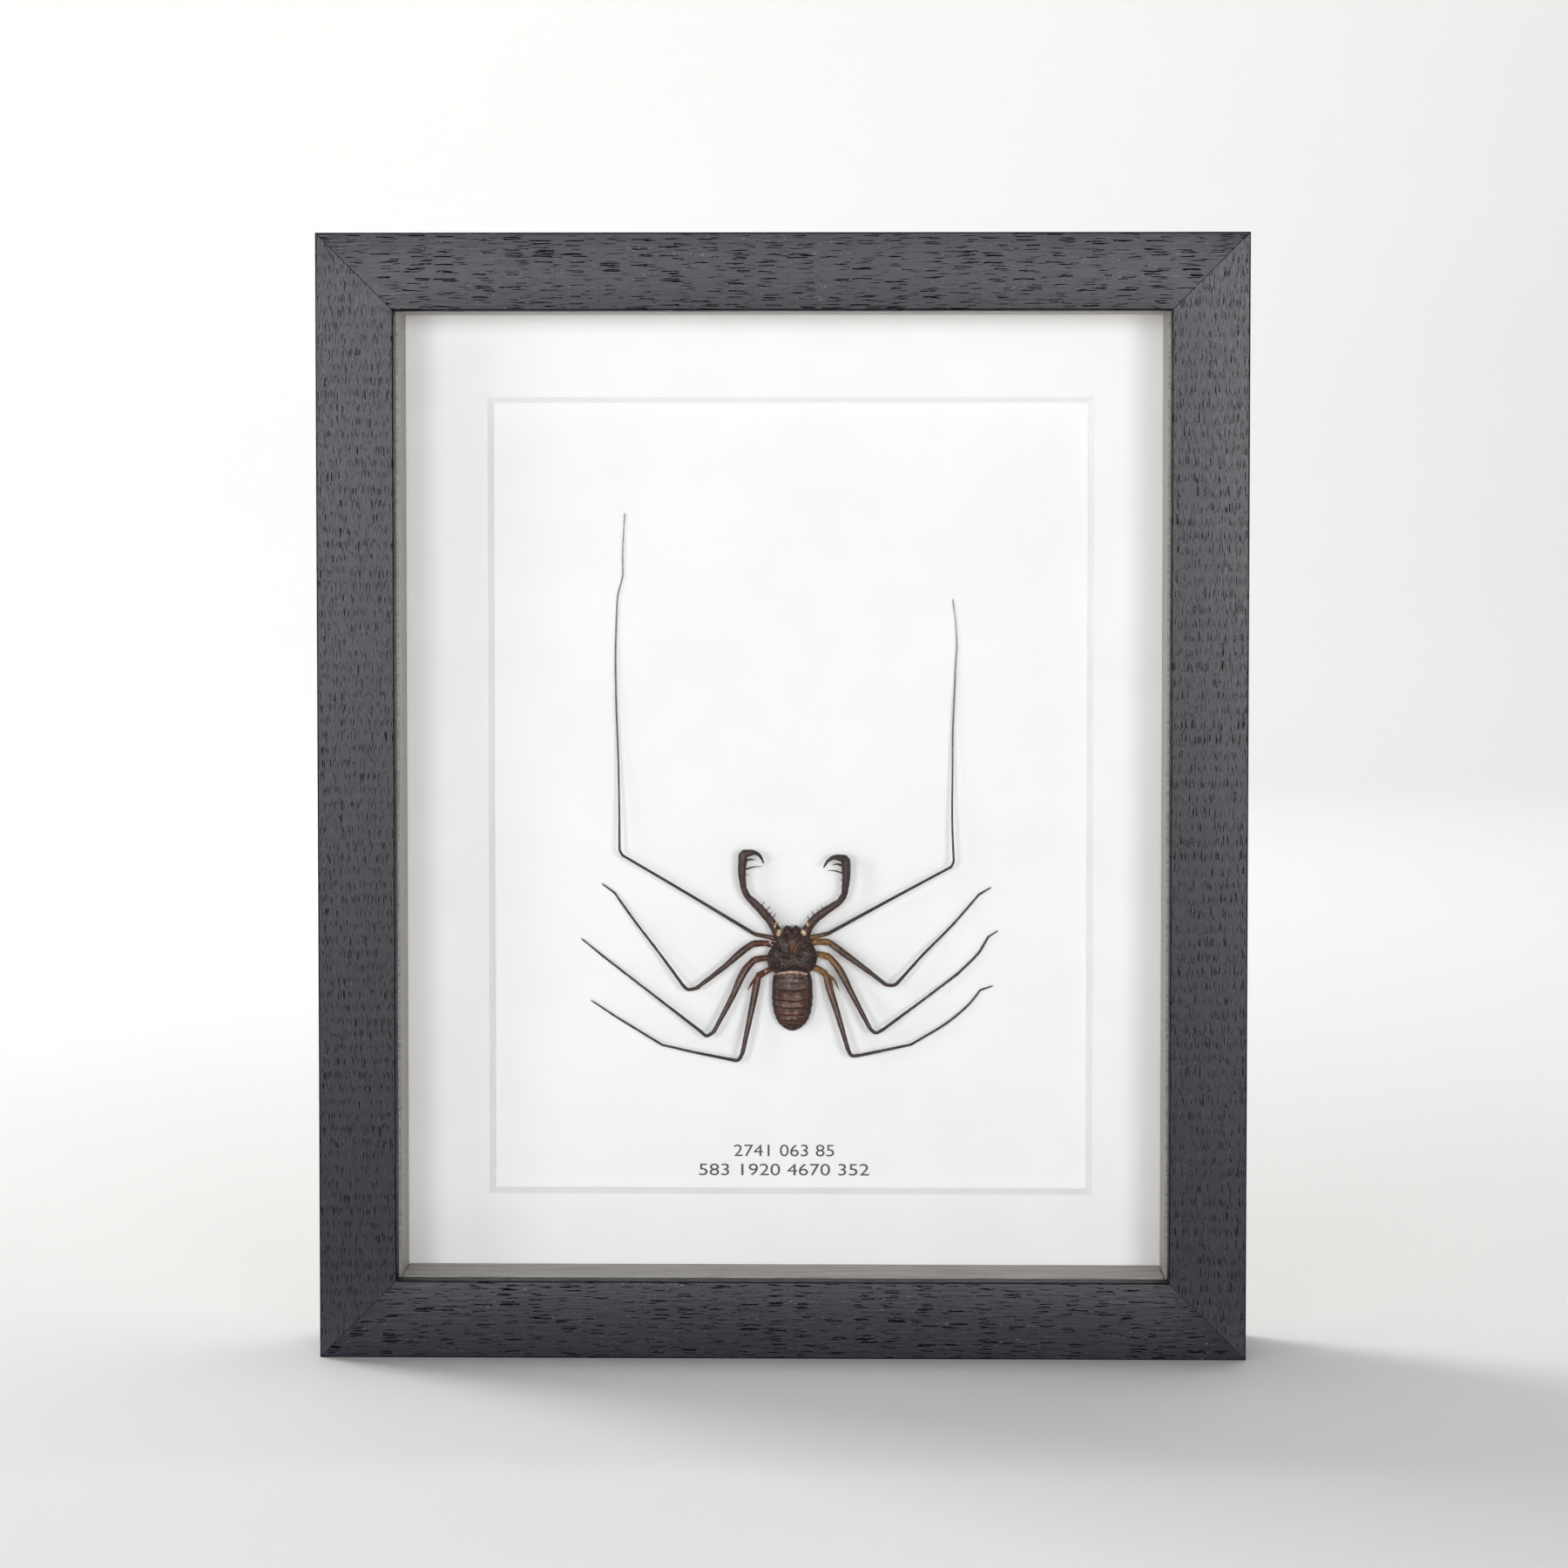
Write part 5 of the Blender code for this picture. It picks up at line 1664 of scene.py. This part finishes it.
def zinc_plate():
    finish, tree, shader = new_finish("zinc_plate")
    place = object_place(tree)
    cloud = grain(tree, place, 4 * MM, 3.0, 0.6)
    scratch = grain(tree, stretched(tree, place, (6 * MM, 0.15 * MM, 0.15 * MM)), 1.0, 2.0)
    dull = step_up(tree, grain(tree, place, 2.2 * MM, 3.0), 0.58, 0.72, 0.0, 0.55)
    colour = blend(tree, cloud, tone(196, 196, 192), tone(166, 168, 168))
    colour = blend(tree, dull, colour, tone(132, 130, 124))
    cover(tree, shader, colour, step_up(tree, cloud, 0.3, 0.7, 0.28, 0.5), Metallic=1.0)
    bump(tree, shader, scratch, 0.02 * MM, 0.4)
    return finish


zinc = zinc_plate()
dress("backing_board", fibreboard())
dress("sawtooth_hanger", zinc)
for side in ("bottom", "right", "top", "left"):
    for number in (1, 2):
        dress("framing_point_%s_%d" % (side, number), zinc)

# %% Hanger nails
hanger_low, hanger_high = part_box("sawtooth_hanger")
foot_middle = 4 * MM
foot_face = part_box("frame_rail_top")[1].y + 1.1 * MM
nail_up = (hanger_low.z + hanger_high.z) / 2
nail_rows = [
    (Vector((x, foot_face, nail_up)), Vector((0, 1, 0)), 1.7, 0.7)
    for x in (hanger_low.x + foot_middle, hanger_high.x - foot_middle)
]
bead_piece("hanger_nails", nail_rows, zinc, "zinc_steel", 3)

# %% Corner pins
PIN_REACH = 5 * MM
PIN_RISE = 2.2 * MM


def pin_tree():
    tree, given = new_tree("bent_strip", {"Thickness": "float", "Height": "float"})
    wires = add(tree, "GeometryNodeMeshToCurve", {"Mesh": given["Geometry"]}).outputs[0]
    shape = {"Width": given["Thickness"], "Height": given["Height"]}
    strip = add(tree, "GeometryNodeCurvePrimitiveQuadrilateral", shape, mode="RECTANGLE").outputs[0]
    sweep = {"Curve": wires, "Profile Curve": strip, "Fill Caps": True}
    return end_tree(tree, given, add(tree, "GeometryNodeCurveToMesh", sweep).outputs[0])


def pin_chain(corner_x, corner_z, inset):
    """One bent strip across a mitre, its peak towards the middle of the frame."""
    to_middle = Vector((-math.copysign(1, corner_x), 0, -math.copysign(1, corner_z))).normalized()
    beside = Vector((to_middle.z, 0, -to_middle.x))
    back = FRAME_DEPTH / 2
    centre = Vector((corner_x, back, corner_z + FRAME_HEIGHT / 2)) + to_middle * inset
    chain = []
    for part in (-1.0, -0.5, 0.0, 0.5, 1.0):
        rise = PIN_RISE * (1 - abs(part)) if abs(part) < 0.9 else 0.0
        chain.append((centre + beside * part * PIN_REACH + to_middle * rise, {"girth": 1.0}))
    return chain


pin_chains = []
for corner_x in (-FRAME_WIDTH / 2, FRAME_WIDTH / 2):
    for corner_z in (-FRAME_HEIGHT / 2, FRAME_HEIGHT / 2):
        pin_chains += [pin_chain(corner_x, corner_z, inset * MM) for inset in (8, 14)]
pins = grow(
    "corner_pins", wire_mesh("corner_pins", pin_chains), pin_tree(),
    Thickness=0.5 * MM, Height=0.5 * MM, Finish=zinc,
)
wear(pins, "zinc_steel")

# %% [markdown]
# ## Floor and light
#
# The floor runs back and turns up into a backdrop without a corner, as a photographer's
# paper roll does. The light is soft. In the photo the upper rail is lighter than the
# lower one, because the satin lacquer mirrors something bright above the horizon and
# something dark below it. So a wide lamp hangs above the height of the camera, and two
# lower ones stand on either side, all just outside the cone that the flat glass mirrors.
# Each lamp is given as the share of light that it adds to the card, and its power in
# watts is worked out from that.
#
# The pale floor in front of the frame would show in the glass as a milky patch over the
# label. A photographer lays a dark cloth there. Here the floor is two sheets, and the
# front one is left out of reflections.

# %% Floor
def studio_paper():
    finish, tree, shader = new_finish("studio_paper")
    place = object_place(tree)
    cloud = grain(tree, place, 0.4, 1.0)
    colour = blend(tree, cloud, tone(243, 243, 241), tone(239, 239, 237))
    tree.links.new(colour, shader.inputs["Base Color"])
    shader.inputs["Roughness"].default_value = 0.8
    bump(tree, shader, grain(tree, place, 1.2 * MM, 0.0), 0.05 * MM, 0.3)
    return finish


SHEET_HALF = 3.6
FLOOR_START = -3.0
FLOOR_SPLIT = -0.06
BEND_START = 2.2
BEND_RADIUS = 0.9
BACKDROP_TOP = 3.4


def paper_sheet(name, profile, paper):
    """A sheet of the studio's paper from a side view of (y, z) points."""
    points = [(x, y, z) for y, z in profile for x in (-SHEET_HALF, SHEET_HALF)]
    faces = [(2 * i, 2 * i + 1, 2 * i + 3, 2 * i + 2) for i in range(len(profile) - 1)]
    mesh = bpy.data.meshes.new(name)
    mesh.from_pydata(points, [], faces)
    mesh.shade_smooth()
    mesh.materials.append(paper)
    sheet = put(name, mesh)
    return sheet


white_paper = studio_paper()
bend = [math.radians(90 * step / 16) for step in range(17)]
sweep = [(FLOOR_SPLIT, 0.0)] + [
    (BEND_START + BEND_RADIUS * math.sin(angle), BEND_RADIUS - BEND_RADIUS * math.cos(angle))
    for angle in bend
]
sweep.append((BEND_START + BEND_RADIUS, BACKDROP_TOP))
studio_sweep = paper_sheet("studio_sweep", sweep, white_paper)
floor_in_front = paper_sheet(
    "floor_in_front", [(FLOOR_START, 0.0), (FLOOR_SPLIT, 0.0)], white_paper,
)
floor_in_front.visible_glossy = False
floor_in_front.visible_transmission = False
print("paper:", studio_sweep.dimensions[:], floor_in_front.dimensions[:])

# %% Lamps
LIT_PLACE = Vector((0.0, 0.0, 0.15))


def soft_box(
    name, place, width, height, share, tint=(1.0, 1.0, 1.0), aim=LIT_PLACE, on_floor=False,
):
    """An area lamp that adds that share to white card, or to a floor, where it is aimed."""
    away = Vector(place) - aim
    facing = abs(away.normalized().z if on_floor else away.normalized().y)
    lamp = bpy.data.lights.new(name, "AREA")
    lamp.shape = "RECTANGLE"
    lamp.size = width
    lamp.size_y = height
    lamp.color = tint
    lamp.energy = share * math.pi * math.pi * away.length_squared / facing
    holder = put(name, lamp)
    holder.location = place
    holder.rotation_euler = away.to_track_quat("Z", "Y").to_euler()
    holder.visible_camera = False
    print(name, round(lamp.energy, 1), "W")
    return holder


soft_box("strip_above_camera", (0.05, -2.6, 0.61), 2.0, 0.3, 0.24, (0.92, 0.95, 1.0))
soft_box("box_left", (-0.8, -2.6, 0.26), 0.6, 0.46, 0.21, (1.0, 0.99, 0.975))
soft_box("box_right", (0.8, -2.6, 0.26), 0.6, 0.46, 0.26, (1.0, 0.99, 0.975))
soft_box("key_left", (-1.8, -1.6, 0.6), 0.8, 0.8, 0.12)
soft_box("overhead", (0.0, 0.8, 2.6), 2.6, 2.0, 0.42, aim=Vector((0.0, 0.8, 0.0)), on_floor=True)
soft_box("backdrop_light", (0.0, 0.9, 2.4), 3.0, 0.5, 0.24, aim=Vector((0.0, 3.0, 0.6)))
soft_box("behind", (-2.2, 1.6, 1.7), 1.2, 1.0, 0.25)

studio = bpy.data.worlds.new("studio")
studio.use_nodes = True
studio.node_tree.nodes["Background"].inputs["Color"].default_value = (0.95, 0.97, 1.0, 1.0)
studio.node_tree.nodes["Background"].inputs["Strength"].default_value = 0.08
bpy.context.scene.world = studio
bpy.context.scene.view_settings.view_transform = "Standard"

# %% [markdown]
# Light that has bounced between white surfaces a few times adds almost nothing more, but
# each bounce costs as much time as the first. Six are plenty for this box.

# %% Light bounces
light_paths = bpy.context.scene.cycles
light_paths.max_bounces = 6
light_paths.diffuse_bounces = 3
light_paths.glossy_bounces = 3
light_paths.transmission_bounces = 5
